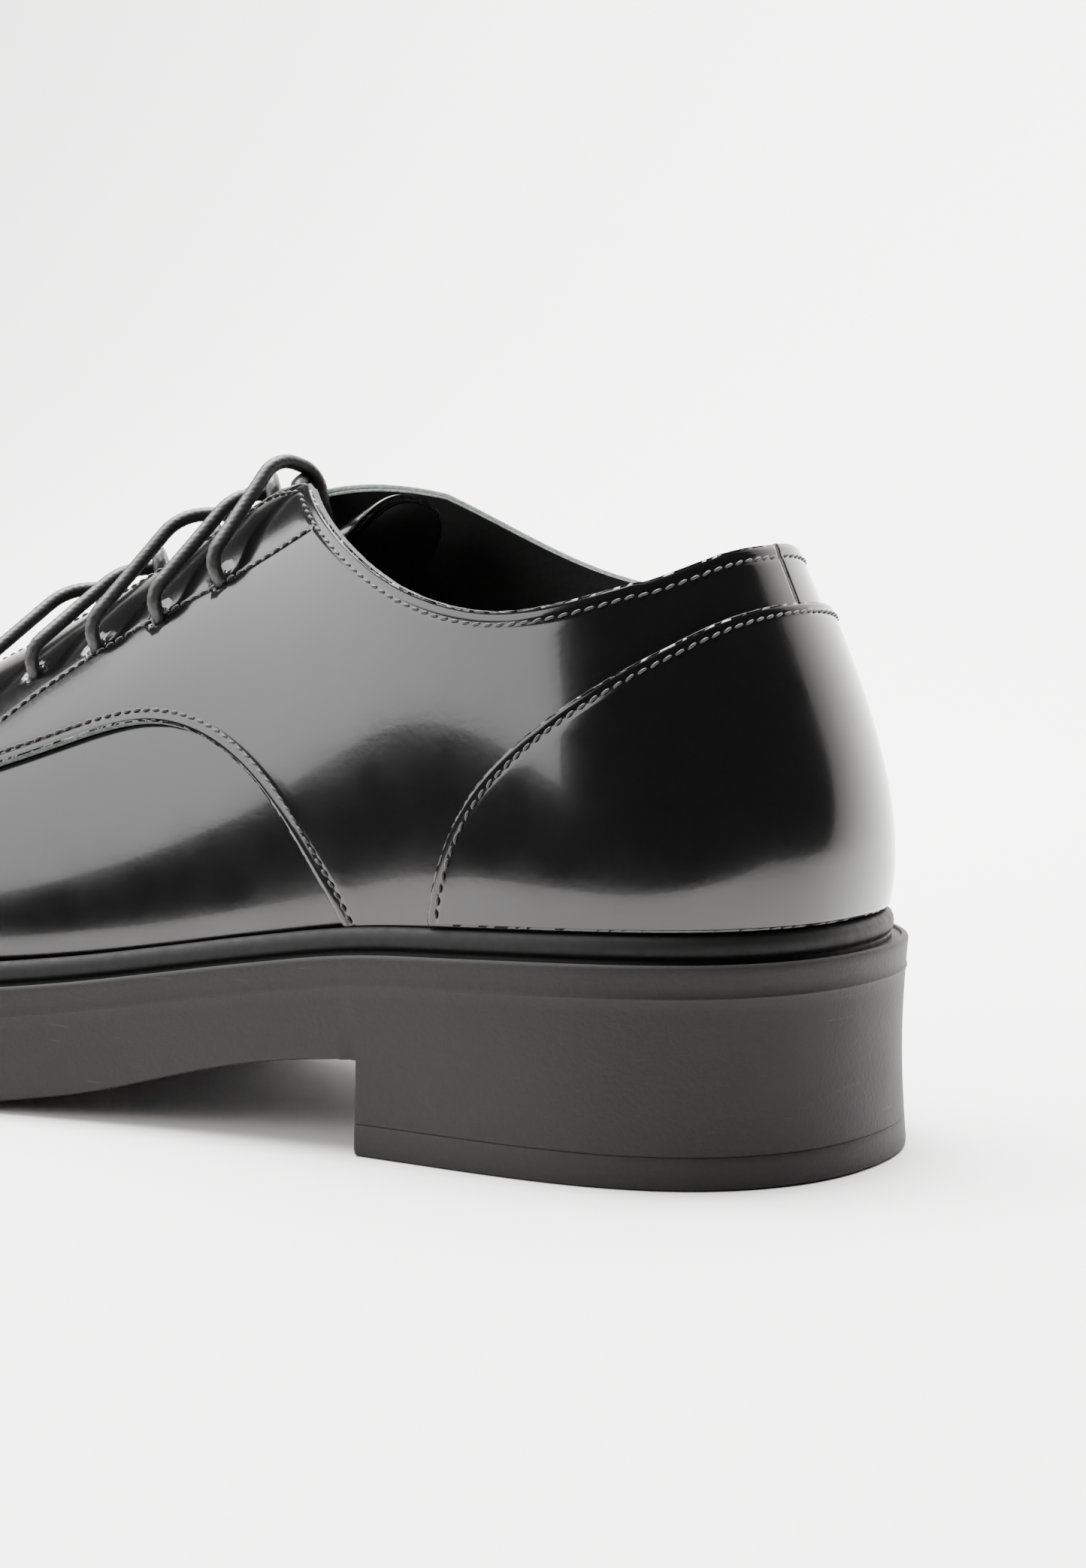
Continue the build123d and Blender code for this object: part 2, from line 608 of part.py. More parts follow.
def corner_radii(points, under_eyelet):
    """Largest arc radius for each corner, and a tight turn right under each eyelet."""
    radii = []
    for before, here, after in zip(points, points[1:], points[2:]):
        turn = math.radians((here - before).get_angle(after - here))
        reach = 0.45 * min((here - before).length, (after - here).length)
        if any((here - start).length < 0.01 for start in under_eyelet):
            reach = min(reach, EYELET_TURN)
        radii.append(reach / math.tan(turn / 2))
    return radii


starts = [under_facing(side, EYELET_ROWS[k], EYELET_RISE[k], LACE_DEPTH) for side in (OUTER, INNER)
          for k in range(5)]
starts = [Vector(x - ORIGIN, y, z) for x, y, z in starts]
radii = corner_radii(lace_points, starts)
with BuildPart() as lace:
    with BuildLine() as lace_path:
        FilletPolyline(*lace_points, radius=radii)
    with BuildSketch(Plane(lace_points[0], z_dir=lace_points[1] - lace_points[0])):
        Circle(LACE / 2)
    sweep(path=lace_path.wire())
lace.part.label = "lace"
print("lace length", round(lace_path.wire().length, 1), "tightest bend", round(min(radii), 2))
full_volume = math.pi * LACE**2 / 4 * lace_path.wire().length
print("lace volume", round(lace.part.volume, 1), "of", round(full_volume, 1))

with BuildPart() as aglets:
    for side, first in ((OUTER, lace_points[0]), (INNER, lace_points[-1])):
        x, y, z = halves[side][1]
        tip = Vector(x - ORIGIN, y, z)
        with BuildSketch(Plane(first, z_dir=tip - first)):
            Circle(AGLET / 2)
        extrude(amount=(tip - first).length)
aglets.part.label = "aglets"

finished = [outsole, heel_top_lift, rand, bottom_filler, shank, insole_board, heel_pad, sock_liner,
            vamp, vamp_lining, toe_puff, counter_patch, heel_stiffener, tongue, tongue_lining,
            lace, aglets]
finished = [piece.part for piece in finished] + backs
finished += [eyelet_set("eyelets_outer", OUTER), eyelet_set("eyelets_inner", INNER)]
os.makedirs("parts", exist_ok=True)
for piece in finished:
    centred = piece.moved(Location((0, -MIDDLE, 0)))
    centred.label = piece.label
    export_step(centred, f"parts/{piece.label}.step")
    print(piece.label, len(piece.solids()), round(piece.volume, 1), piece.is_valid)
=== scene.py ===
import math

import bmesh
import bpy
import numpy as np
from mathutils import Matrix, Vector
from mathutils.geometry import delaunay_2d_cdt


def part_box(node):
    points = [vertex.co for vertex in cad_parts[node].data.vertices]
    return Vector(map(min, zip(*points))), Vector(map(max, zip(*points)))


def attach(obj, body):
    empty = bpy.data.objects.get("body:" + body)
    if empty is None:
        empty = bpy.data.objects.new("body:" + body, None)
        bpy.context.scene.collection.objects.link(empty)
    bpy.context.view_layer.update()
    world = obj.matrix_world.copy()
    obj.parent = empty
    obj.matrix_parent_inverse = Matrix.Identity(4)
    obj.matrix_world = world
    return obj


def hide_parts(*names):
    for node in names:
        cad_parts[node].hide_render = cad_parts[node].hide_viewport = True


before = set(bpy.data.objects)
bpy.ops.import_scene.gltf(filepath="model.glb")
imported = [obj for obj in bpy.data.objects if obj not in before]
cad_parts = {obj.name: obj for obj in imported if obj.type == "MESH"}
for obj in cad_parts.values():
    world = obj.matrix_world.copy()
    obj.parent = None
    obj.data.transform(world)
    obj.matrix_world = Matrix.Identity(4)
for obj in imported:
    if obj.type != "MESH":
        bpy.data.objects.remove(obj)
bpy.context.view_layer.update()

# Millimetres, measured along the shoe from the back of the heel and across it from the middle of
# the heel. The heel's breast face and the shank in the frame give the offset to its own origin.
MM = 0.001
HEEL_BREAST = 68.6
ORIGIN = HEEL_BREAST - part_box("heel_top_lift")[1].x / MM
SHANK_SIDE = 1.5
MIDDLE = SHANK_SIDE - (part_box("shank")[0].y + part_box("shank")[1].y) / 2 / MM
OUTER, INNER = 1, -1

# Height of the foot line of the upper along the shoe (distance from the heel, height).
FEATHER = (
    (0, 36.5), (25, 36.2), (50, 35.3), (69, 34.2), (90, 31.2), (105, 28.7), (120, 26.3),
    (136, 24.3), (160, 22.3), (190, 21.6), (220, 22.6), (250, 25.6), (285, 31.5),
)
# Rows of the last from heel to toe. Each holds a point at the foot (x, outer y, inner y), at the
# waist (x, y, z), at the rise (x, y, z) and at the top (x, y, z).
ROWS = np.array((
    (2.8, 0.0, 0.0, -1.8, 0.0, 54.0, 9.8, 0.0, 76.0, 19.2, 0.0, 97.0),
    (4.8, 14.2, 14.2, 1.0, 15.2, 54.0, 12.0, 12.2, 76.0, 20.4, 10.3, 96.5),
    (14.0, 26.2, 26.2, 11.5, 28.6, 54.0, 19.4, 22.7, 75.0, 26.8, 19.2, 94.0),
    (29.2, 31.6, 31.0, 28.2, 34.2, 53.0, 33.6, 29.3, 73.0, 38.0, 25.8, 89.5),
    (47.0, 32.4, 31.0, 47.0, 35.0, 52.0, 49.5, 31.5, 72.0, 51.0, 28.0, 87.5),
    (66.0, 32.0, 29.5, 66.0, 34.0, 52.0, 68.0, 30.5, 76.0, 69.0, 24.0, 92.0),
    (84.0, 32.5, 27.5, 84.5, 34.5, 54.0, 86.5, 25.0, 85.0, 87.0, 14.5, 100.0),
    (102.0, 33.5, 26.5, 102.5, 35.5, 54.0, 104.0, 18.0, 93.0, 104.5, 4.0, 101.0),
    (122.0, 36.0, 27.5, 122.5, 38.0, 49.0, 123.5, 18.5, 86.5, 124.0, 1.5, 90.5),
    (145.0, 40.5, 31.5, 145.0, 43.0, 43.0, 145.5, 21.5, 77.5, 145.5, 0.4, 79.5),
    (168.0, 45.0, 36.5, 168.0, 47.5, 40.0, 168.0, 25.0, 69.0, 168.0, 0.0, 69.0),
    (190.0, 47.3, 42.0, 190.0, 49.5, 38.0, 190.0, 27.0, 61.0, 190.0, 0.0, 61.0),
    (210.0, 46.3, 44.0, 210.0, 48.0, 37.0, 210.0, 28.0, 56.0, 210.0, 0.0, 56.0),
    (230.0, 42.0, 42.0, 230.0, 43.0, 37.0, 230.0, 27.0, 53.0, 230.0, 0.0, 53.0),
    (248.0, 35.0, 36.0, 248.0, 35.5, 38.5, 247.5, 23.0, 50.5, 247.0, 0.0, 50.5),
    (263.0, 25.5, 27.5, 264.0, 26.0, 40.0, 261.0, 17.0, 48.0, 259.0, 0.0, 48.0),
    (275.0, 14.0, 15.5, 276.5, 14.5, 40.0, 271.0, 10.0, 45.0, 268.0, 0.0, 45.0),
    (281.0, 0.0, 0.0, 282.5, 0.0, 39.0, 276.0, 0.0, 43.5, 271.0, 0.0, 44.0),
))
LAST_ROW = len(ROWS) - 1

# Side-view lines of the pattern (distance from the heel, height).
TOPLINE = {
    OUTER: ((6, 93.0), (16, 91.0), (23, 87.0), (34, 83.3), (48, 81.0), (56, 81.8), (66, 84.4),
            (77, 89.2), (88, 95.4), (97.5, 101.5)),
    INNER: ((6, 93.0), (16, 91.2), (23, 88.0), (34, 85.0), (48, 83.2), (56, 84.2), (66, 87.4),
            (77, 93.2), (88, 99.8), (97.5, 104.5)),
}
QUARTER_SEAM = (
    (70.5, 27), (72.4, 33.0), (77.0, 40.5), (86.4, 51.5), (98.1, 59.3), (113.6, 62.6),
    (133.4, 58.0), (150.0, 52.8), (162.0, 51.0), (170.0, 55.0), (172.5, 62.0),
)
VAMP_EDGE = (
    (60.5, 27), (63.0, 36.0), (69.0, 46.0), (79.0, 57.0), (92.0, 65.5), (108.0, 69.5),
    (122.0, 67.0), (136.0, 61.5), (148.0, 57.5), (158.0, 56.5), (165.0, 60.0), (168.5, 66.5),
)
PATCH_EDGE = (
    (2.0, 84.0), (12.4, 82.0), (21.5, 76.2), (30.5, 70.2), (40.5, 62.6), (48.8, 53.8),
    (53.2, 45.5), (56.0, 36.0), (57.0, 27.0),
)
LINING_JOIN = (
    (92.0, 15), (94.0, 35.0), (99.0, 46.0), (110.0, 51.5), (125.0, 53.5), (150.0, 53.0),
    (168.0, 54.5), (177.0, 58.0), (179.5, 62.0),
)
FACING_ROW = ((89.4, 92.9), (106.1, 84.6), (121.0, 77.9), (134.8, 70.1), (145.6, 61.8), (151.5, 56.0))
FACING_GAP = 5.3
FACING_ROWS = (5.6, 11.0)
EYELET_HOLE = 3.4
EYELET_CLEARANCE = 4.5
EYELET_ROWS = (9.50, 8.94, 8.37, 7.78, 7.18)
EYELET_RISE = (0.668, 0.664, 0.662, 0.668, 0.705)
SEAM_ROW = 0.012
FOOT_RISE = -0.05
HOLE_POINTS = 24

# Thicknesses of the layers and their depths under the outer face.
LEATHER = 1.4
VAMP_DEPTH = 1.6
PATCH_THICK = 1.2
GAP = 0.1
LINING_THICK = 0.7
QUARTER_LINING_DEPTH = 3.15
VAMP_LINING_DEPTH = 4.0
RAND_HEIGHT = 4.3
SOLE_MARGIN = 4.2
TOP_LIFT = 5.0
WAIST_HEIGHT = 14.4

# Tongue: centre line (x, y, z) from the throat to its free edge, cross radius and half width.
TONGUE = np.array((
    (174.5, 0.2, 61.0, 26.5, 19.8), (168.0, 0.8, 62.0, 23.0, 19.5), (157.0, 1.4, 63.6, 16.0, 18.5),
    (145.0, 1.6, 67.6, 12.5, 17.5), (134.0, 1.6, 72.4, 11.2, 17.0), (124.0, 1.6, 76.9, 10.6, 17.0),
    (114.0, 1.5, 81.4, 10.2, 17.0), (105.0, 1.3, 85.7, 10.2, 17.0), (95.0, 1.0, 92.0, 12.4, 18.0),
    (83.0, 0.5, 98.6, 19.0, 16.8),
))
TONGUE_THICK = 1.2
TONGUE_LINING_THICK = 0.6
TONGUE_CORNER = 9.0

# Lace: its thickness, how deep it runs under the facings and how high it arches over them.
LACE = 2.4
LACE_DEPTH = 6.9
LACE_UNDER = 6.3
LACE_RISE = 3.8
LACE_ARCH = (5.6, 3.0)
LACE_DIVE = 3.0
EYELET_TURN = 2.3
TAIL_DEPTH = 5.6
LACE_STEP = 0.36
BRAID_TURN = 7.2

ROW_INSET = {"topline": 2.0, "seam": 1.9, "edge": 2.0, "patch": 1.5}
STITCH_PITCH = 2.0
STITCH_LENGTH = 1.5
STITCH_START = 0.6
STITCH_RAISED = 0.12
STITCH_DIP = 0.15
THREAD = 0.46


# ---------------------------------------------------------------- curves
def lengths(points):
    """Distance of each point from the first, along the polyline."""
    return np.concatenate(([0], np.cumsum(np.linalg.norm(np.diff(points, axis=0), axis=1))))


def bisect(low, high, is_below):
    """Upper end of the span left after halving it while is_below tells which half to keep."""
    for _ in range(40):
        middle = (low + high) / 2
        below = is_below(middle)
        low, high = np.where(below, middle, low), np.where(below, high, middle)
    return high


def spline(points, step=0.5):
    """Smooth curve through the points, sampled every step."""
    points = np.array(points, float)
    at = lengths(points)
    h = np.diff(at)
    n = len(points)
    system = np.eye(n)
    right = np.zeros_like(points)
    for i in range(1, n - 1):
        system[i, i - 1:i + 2] = (h[i - 1], 2 * (h[i - 1] + h[i]), h[i])
        right[i] = 6 * ((points[i + 1] - points[i]) / h[i] - (points[i] - points[i - 1]) / h[i - 1])
    bend = np.linalg.solve(system, right)
    t = np.linspace(0, at[-1], max(int(at[-1] / step), 2) + 1)
    k = np.clip(np.searchsorted(at, t, side="right") - 1, 0, n - 2)
    a = ((at[k + 1] - t) / h[k])[:, None]
    b = 1 - a
    curve = a * points[k] + b * points[k + 1]
    return curve + ((a**3 - a) * bend[k] + (b**3 - b) * bend[k + 1]) * (h[k]**2)[:, None] / 6


def hermite(points, x):
    """Smooth interpolation of (x, y) points, flat beyond both ends."""
    xs = np.array([p[0] for p in points], float)
    ys = np.array([p[1] for p in points], float)
    slopes = np.gradient(ys, xs)
    x = np.clip(x, xs[0], xs[-1])
    k = np.clip(np.searchsorted(xs, x) - 1, 0, len(xs) - 2)
    h = xs[k + 1] - xs[k]
    t = (x - xs[k]) / h
    return ((2 * t**3 - 3 * t**2 + 1) * ys[k] + (t**3 - 2 * t**2 + t) * h * slopes[k]
            + (3 * t**2 - 2 * t**3) * ys[k + 1] + (t**3 - t**2) * h * slopes[k + 1])


def smooth(t):
    t = np.clip(t, 0, 1)
    return t * t * (3 - 2 * t)


def unit(v):
    return v / np.maximum(np.linalg.norm(v, axis=-1, keepdims=True), 1e-12)


def resample(line, step, closed=False):
    """The same polyline with points about every step apart."""
    line = np.array(line, float)
    if closed:
        line = np.concatenate((line, line[:1]))
    at = lengths(line)
    count = max(int(round(at[-1] / step)), 2)
    t = np.linspace(0, at[-1], count + 1)
    out = np.stack([np.interp(t, at, line[:, i]) for i in range(line.shape[1])], axis=1)
    return out[:-1] if closed else out


# ---------------------------------------------------------------- surface of the upper
def control_lines(side):
    """Four control points for each row of one side, with a mirrored row beyond each end."""
    lines = []
    for fx, outer, inner, wx, wy, wz, rx, ry, rz, tx, ty, tz in ROWS:
        ratio = 1.0 if side == OUTER or outer == 0 else inner / outer
        lines.append(((fx, outer * ratio, float(hermite(FEATHER, fx))), (wx, wy * ratio, wz),
                      (rx, ry * (1 + ratio) / 2, rz), (tx, ty, tz)))
    lines = np.array(lines)
    lines[:, :, 1] *= side
    mirrored = np.array((1.0, -1.0, 1.0))
    return np.concatenate(([lines[1] * mirrored], lines, [lines[-2] * mirrored]))


LINES = np.stack((control_lines(INNER), control_lines(OUTER)))


def on_last(side, row, rise):
    """Points of the upper's outer face: row runs heel to toe, rise runs foot to top."""
    side, row, rise = np.broadcast_arrays(side, np.asarray(row, float), np.asarray(rise, float))
    k = np.clip(np.floor(row).astype(int), 0, LAST_ROW - 1)
    f = (row - k)[..., None, None]
    s = (side > 0).astype(int)
    blend = ((1 - f)**3 / 6, (3 * f**3 - 6 * f**2 + 4) / 6, (-3 * f**3 + 3 * f**2 + 3 * f + 1) / 6,
             f**3 / 6)
    line = sum(b * LINES[s, k + j] for j, b in enumerate(blend))
    t = np.maximum(rise, 0)[..., None]
    point = ((1 - t)**3 * line[..., 0, :] + 3 * t * (1 - t)**2 * line[..., 1, :]
             + 3 * t * t * (1 - t) * line[..., 2, :] + t**3 * line[..., 3, :])
    return point + 3 * np.minimum(rise, 0)[..., None] * (line[..., 1, :] - line[..., 0, :])


def outward(side, row, rise):
    """Unit normals of the upper's outer face."""
    e = 0.002
    row = np.clip(row, e, LAST_ROW - e)
    rise = np.clip(rise, e, None)
    along = on_last(side, row + e, rise) - on_last(side, row - e, rise)
    up = on_last(side, row, rise + e) - on_last(side, row, rise - e)
    return unit(-np.asarray(side, float)[..., None] * np.cross(along, up))


def upper_point(side, row, rise, depth):
    return on_last(side, row, rise) - np.asarray(depth)[..., None] * outward(side, row, rise)


ROW_UNIT, RISE_UNIT = 15, 60


class Domain:
    """Flat map of part of the upper, about a millimetre to the unit.

    "side" is one side, "heel" runs round the back, "front" runs over the ridge."""

    def __init__(self, kind, side=OUTER):
        self.kind = kind
        self.side = side

    def unfold(self, side, row, rise):
        row, rise = np.broadcast_arrays(np.asarray(row, float), np.asarray(rise, float))
        if self.kind == "front":
            return np.stack((row * ROW_UNIT, side * (1 - rise) * RISE_UNIT), axis=-1)
        u = side * row * ROW_UNIT if self.kind == "heel" else row * ROW_UNIT
        return np.stack((u, rise * RISE_UNIT), axis=-1)

    def split(self, uv):
        u, v = uv[..., 0], uv[..., 1]
        if self.kind == "front":
            return np.where(v >= 0, 1, -1), u / ROW_UNIT, 1 - np.abs(v) / RISE_UNIT
        if self.kind == "heel":
            return np.where(u >= 0, 1, -1), np.abs(u) / ROW_UNIT, v / RISE_UNIT
        return np.full(u.shape, self.side), u / ROW_UNIT, v / RISE_UNIT

    def point(self, uv, depth=0.0):
        side, row, rise = self.split(uv)
        return upper_point(side, row, rise, np.broadcast_to(depth, row.shape))

    def normal(self, uv):
        return outward(*self.split(uv))

    def tangents(self, uv):
        e = 0.02
        du = self.point(uv + (e, 0)) - self.point(uv - (e, 0))
        dv = self.point(uv + (0, e)) - self.point(uv - (0, e))
        return du / (2 * e), dv / (2 * e)

    def moved(self, uv, step):
        """The map points reached by moving along 3-D steps that lie in the surface."""
        du, dv = self.tangents(uv)
        a, b, c = (du * du).sum(-1), (du * dv).sum(-1), (dv * dv).sum(-1)
        p, q = (du * step).sum(-1), (dv * step).sum(-1)
        det = np.maximum(a * c - b * b, 1e-9)
        return uv + np.stack(((c * p - b * q) / det, (a * q - b * p) / det), axis=-1)


def side_curve(domain, side, curve, depth=0.0):
    """A side-view line as map points of a domain, where it lies on that side of the upper."""
    target = spline(curve, 0.6)
    rows, rises = np.meshgrid(np.linspace(0.0, LAST_ROW, 120), np.linspace(-0.1, 1.02, 60))
    rows, rises = rows.ravel(), rises.ravel()
    seen = upper_point(side, rows, rises, depth)[:, (0, 2)]
    nearest = ((target[:, None, :] - seen[None]) ** 2).sum(-1).argmin(1)
    row, rise = rows[nearest], rises[nearest]
    e = 1e-3
    for _ in range(25):
        here = upper_point(side, row, rise, depth)[:, (0, 2)]
        by_row = (upper_point(side, row + e, rise, depth)[:, (0, 2)] - here) / e
        by_rise = (upper_point(side, row, rise + e, depth)[:, (0, 2)] - here) / e
        miss = target - here
        det = by_row[:, 0] * by_rise[:, 1] - by_row[:, 1] * by_rise[:, 0]
        det = np.where(np.abs(det) < 1e-3, 1e-3, det)
        step_row = (miss[:, 0] * by_rise[:, 1] - miss[:, 1] * by_rise[:, 0]) / det
        step_rise = (by_row[:, 0] * miss[:, 1] - by_row[:, 1] * miss[:, 0]) / det
        row = np.clip(row + np.clip(step_row, -0.3, 0.3), 0.0, LAST_ROW - 0.01)
        rise = np.clip(rise + np.clip(step_rise, -0.1, 0.1), -0.15, 1.04)
    miss = np.linalg.norm(upper_point(side, row, rise, depth)[:, (0, 2)] - target, axis=1)
    good = miss < 0.05
    return domain.unfold(side, row[good], rise[good])


def crossing_rows(domain, side, curve, rows, depth=0.0):
    """Where a side-view line crosses each row; for lines that run round the heel."""
    drawn = spline(curve, 0.5)

    def under(rises):
        point = upper_point(side, rows, rises, depth)
        return point[:, 2] < np.interp(point[:, 0], drawn[:, 0], drawn[:, 1])

    return domain.unfold(side, rows, bisect(np.zeros(len(rows)), np.ones(len(rows)), under))


def facing_edge(domain, side, depth, count=160):
    """Edge of a facing: the top of the surface, then a line beside the middle of the instep."""
    rows = np.linspace(*FACING_ROWS, count)

    def wide(rises):
        return side * upper_point(side, rows, rises, depth)[:, 1] > FACING_GAP

    return domain.unfold(side, rows, bisect(np.full(count, 0.5), np.ones(count), wide))


def to_ridge(domain, side, line):
    """Carries a line on to the ridge without changing its distance from the heel."""
    _, row, rise = domain.split(line[-1:])
    target = on_last(side, row, rise)[0, 0]
    rises = np.linspace(rise[0], 1.0, 40)[1:]
    near = np.full(len(rises), row[0])
    found = bisect(near - 1.0, near + 1.0, lambda rows: on_last(side, rows, rises)[:, 0] < target)
    return np.concatenate((line, domain.unfold(side, found, rises)))


def meet(one, two):
    """Cuts two map lines at their first crossing: (start of one .. crossing, crossing .. end of two)."""
    a, b = one[:-1, None], one[1:, None] - one[:-1, None]
    c, d = two[None, :-1], two[None, 1:] - two[None, :-1]
    det = b[..., 0] * d[..., 1] - b[..., 1] * d[..., 0]
    det = np.where(np.abs(det) < 1e-12, 1e-12, det)
    ca = c - a
    s = (ca[..., 0] * d[..., 1] - ca[..., 1] * d[..., 0]) / det
    t = (ca[..., 0] * b[..., 1] - ca[..., 1] * b[..., 0]) / det
    hit = (s >= 0) & (s <= 1) & (t >= 0) & (t <= 1)
    if not hit.any():
        raise ValueError("two pattern lines do not cross")
    i, j = np.argwhere(hit)[0]
    point = one[i] + s[i, j] * (one[i + 1] - one[i])
    return np.concatenate((one[:i + 1], [point])), np.concatenate(([point], two[j + 1:]))


def closed_loop(lines):
    """Outline made of lines that cross in turn, and the lines cut to their stretch of it."""
    lines = list(lines)
    for i in range(len(lines)):
        j = (i + 1) % len(lines)
        lines[i], lines[j] = meet(lines[i], lines[j])
    return np.concatenate([line[:-1] for line in lines]), lines


def by_length(domain, line, step, closed=False):
    """Map line resampled so that its points are about step apart in the surface."""
    if closed:
        line = np.concatenate((line, line[:1]))
    at = lengths(domain.point(line))
    count = max(int(round(at[-1] / step)), 3)
    t = np.linspace(0, at[-1], count + 1)
    out = np.stack((np.interp(t, at, line[:, 0]), np.interp(t, at, line[:, 1])), axis=1)
    return out[:-1] if closed else out


def sideways(domain, line):
    """Unit steps in the surface, square to a map line."""
    return unit(np.cross(domain.normal(line), np.gradient(domain.point(line), axis=0)))


def parallel(domain, line, distance, towards):
    """The line moved sideways in the surface, to the side where the map point towards lies."""
    line = by_length(domain, line, 0.8)
    space, across = domain.point(line), sideways(domain, line)
    middle = domain.point(np.array([towards]))[0]
    nearest = ((space - middle) ** 2).sum(1).argmin()
    if ((middle - space[nearest]) * across[nearest]).sum() < 0:
        across = -across
    return domain.moved(line, across * distance)


def runs_of(line, good):
    """Stretches of a line whose points are all good."""
    runs = np.split(np.arange(len(line)), np.where(np.diff(good.astype(int)) != 0)[0] + 1)
    return [line[run] for run in runs if good[run[0]] and len(run) > 1]


def inside(points, loops):
    """True for map points inside the first loop and outside the others, by counting crossings."""
    odd = np.zeros(len(points), bool)
    for loop in loops:
        a, b = loop, np.roll(loop, -1, axis=0)
        for i in range(0, len(points), 4000):
            x, y = points[i:i + 4000, 0:1], points[i:i + 4000, 1:2]
            spans = (a[:, 1] > y) != (b[:, 1] > y)
            rise = np.where(b[:, 1] == a[:, 1], 1e-12, b[:, 1] - a[:, 1])
            cross = x < a[:, 0] + (y - a[:, 1]) * (b[:, 0] - a[:, 0]) / rise
            odd[i:i + 4000] ^= (spans & cross).sum(1) % 2 == 1
    return odd


def nearest_of(points, marks):
    """Distance from each point to the nearest mark, and the direction away from it."""
    distance = np.full(len(points), 1e9)
    away = np.zeros_like(points)
    for i in range(0, len(points), 2000):
        gap = points[i:i + 2000, None, :] - marks[None]
        length = np.sqrt((gap ** 2).sum(-1))
        at = length.argmin(1)
        pick = np.arange(len(at))
        distance[i:i + 2000] = length[pick, at]
        away[i:i + 2000] = gap[pick, at]
    return distance, unit(away)


# ---------------------------------------------------------------- meshes
def to_frame(points):
    """Shoe millimetres to the frame's metres."""
    return (np.asarray(points, float) - (ORIGIN, MIDDLE, 0.0)) * MM


def make_mesh(name, points, faces, normals=None, materials=(), face_materials=None):
    """Mesh object from points in millimetres; normals are one per face corner."""
    mesh = bpy.data.meshes.new(name)
    mesh.from_pydata(to_frame(points).tolist(), [], [tuple(int(i) for i in f) for f in faces])
    for material in materials:
        mesh.materials.append(material)
    if face_materials is not None:
        mesh.polygons.foreach_set("material_index", np.asarray(face_materials, np.int32))
    mesh.polygons.foreach_set("use_smooth", np.ones(len(faces), bool))
    if normals is not None:
        mesh.normals_split_custom_set(np.asarray(normals, float).tolist())
    mesh.update()
    piece = bpy.data.objects.new(name, mesh)
    bpy.context.scene.collection.objects.link(piece)
    return piece


def strip(rings):
    """Quads between closed rings of points (ring, point, xyz)."""
    rings = np.array(rings)
    count, n = rings.shape[:2]
    faces = []
    for i in range(count - 1):
        for j in range(n):
            a, b = i * n + j, i * n + (j + 1) % n
            faces.append((a, b, b + n, a + n))
    return rings.reshape(-1, 3), faces


def triangulate(loops, rails, grid):
    """Constrained triangles of a map region, with extra lines and loose points inside it."""
    points, edges = [], []
    start = 0
    for line, closed in [(loop, True) for loop in loops] + [(rail, False) for rail in rails]:
        n = len(line)
        points.append(line)
        edges += [(start + i, start + i + 1) for i in range(n - 1)]
        if closed:
            edges.append((start + n - 1, start))
        start += n
    points.append(grid)
    points = np.concatenate(points)
    out = delaunay_2d_cdt([Vector(p) for p in points.tolist()], edges, [], 0, 1e-5)
    flat = np.array([tuple(p) for p in out[0]])
    triangles = np.array(out[2])
    keep = inside(flat[triangles].mean(1), loops)
    triangles = triangles[keep]
    used, triangles = np.unique(triangles, return_inverse=True)
    return flat[used], triangles.reshape(-1, 3)


def rail_lines(domain, loop, distances, outside=False):
    """Lines parallel to a loop, inside or outside it, left out where they would fold."""
    rails = []
    area = (loop[:, 0] * np.roll(loop[:, 1], -1) - np.roll(loop[:, 0], -1) * loop[:, 1]).sum()
    flat_in = np.roll(loop, -1, axis=0) - np.roll(loop, 1, axis=0)
    flat_in = np.stack((-flat_in[:, 1], flat_in[:, 0]), axis=1) * np.sign(area)
    if outside:
        flat_in = -flat_in
    space, normal = domain.point(loop), domain.normal(loop)
    du, dv = domain.tangents(loop)
    inwards = du * flat_in[:, :1] + dv * flat_in[:, 1:]
    ahead = unit(np.roll(space, -1, axis=0) - np.roll(space, 1, axis=0))
    across = unit(np.cross(normal, ahead))
    across *= np.sign((across * inwards).sum(-1, keepdims=True))
    for distance in distances:
        moved = domain.moved(loop, across * distance)
        clear, _ = nearest_of(domain.point(moved), space)
        rails += runs_of(moved, clear > 0.86 * distance)
    return rails


def weld(points, faces, grid=0.004):
    """Joins points that lie on each other: which points to keep, and the faces that are left."""
    key = np.round(points / grid).astype(np.int64)
    _, first, back = np.unique(key, axis=0, return_index=True, return_inverse=True)
    faces = back.reshape(-1)[faces]
    whole = (faces[:, 0] != faces[:, 1]) & (faces[:, 1] != faces[:, 2]) & (faces[:, 0] != faces[:, 2])
    return first, faces[whole]


def hash_noise(n, seed):
    """Repeatable rough values between -1 and 1."""
    return np.modf(np.abs(np.sin(np.arange(n) * 12.9898 + seed * 78.233) * 43758.5453))[0] * 2 - 1


CUT_SHARES = (0.0, 0.22, 0.5, 0.78, 1.0)
TONGUE_SHARES = (0.0, 0.25, 0.5, 0.75, 1.0)
CUT_BULGE, CUT_FUZZ, CUT_LEAN = 0.12, 0.05, 1.2


def cut_edge(top, under, out, shares, seed):
    """Rows of points down a raw cut edge, slightly bulged and rough."""
    rows = []
    for j, share in enumerate(shares):
        fuzz = CUT_FUZZ * hash_noise(len(top), j + seed) if 0 < j < len(shares) - 1 else 0.0
        bulge = CUT_BULGE * math.sin(math.pi * share) + fuzz
        rows.append(top * (1 - share) + under * share + np.reshape(bulge, (-1, 1)) * out)
    return rows


EASED, GROOVE_WIDTH, CLOSE_REACH = 0.6, 0.5, 9.0


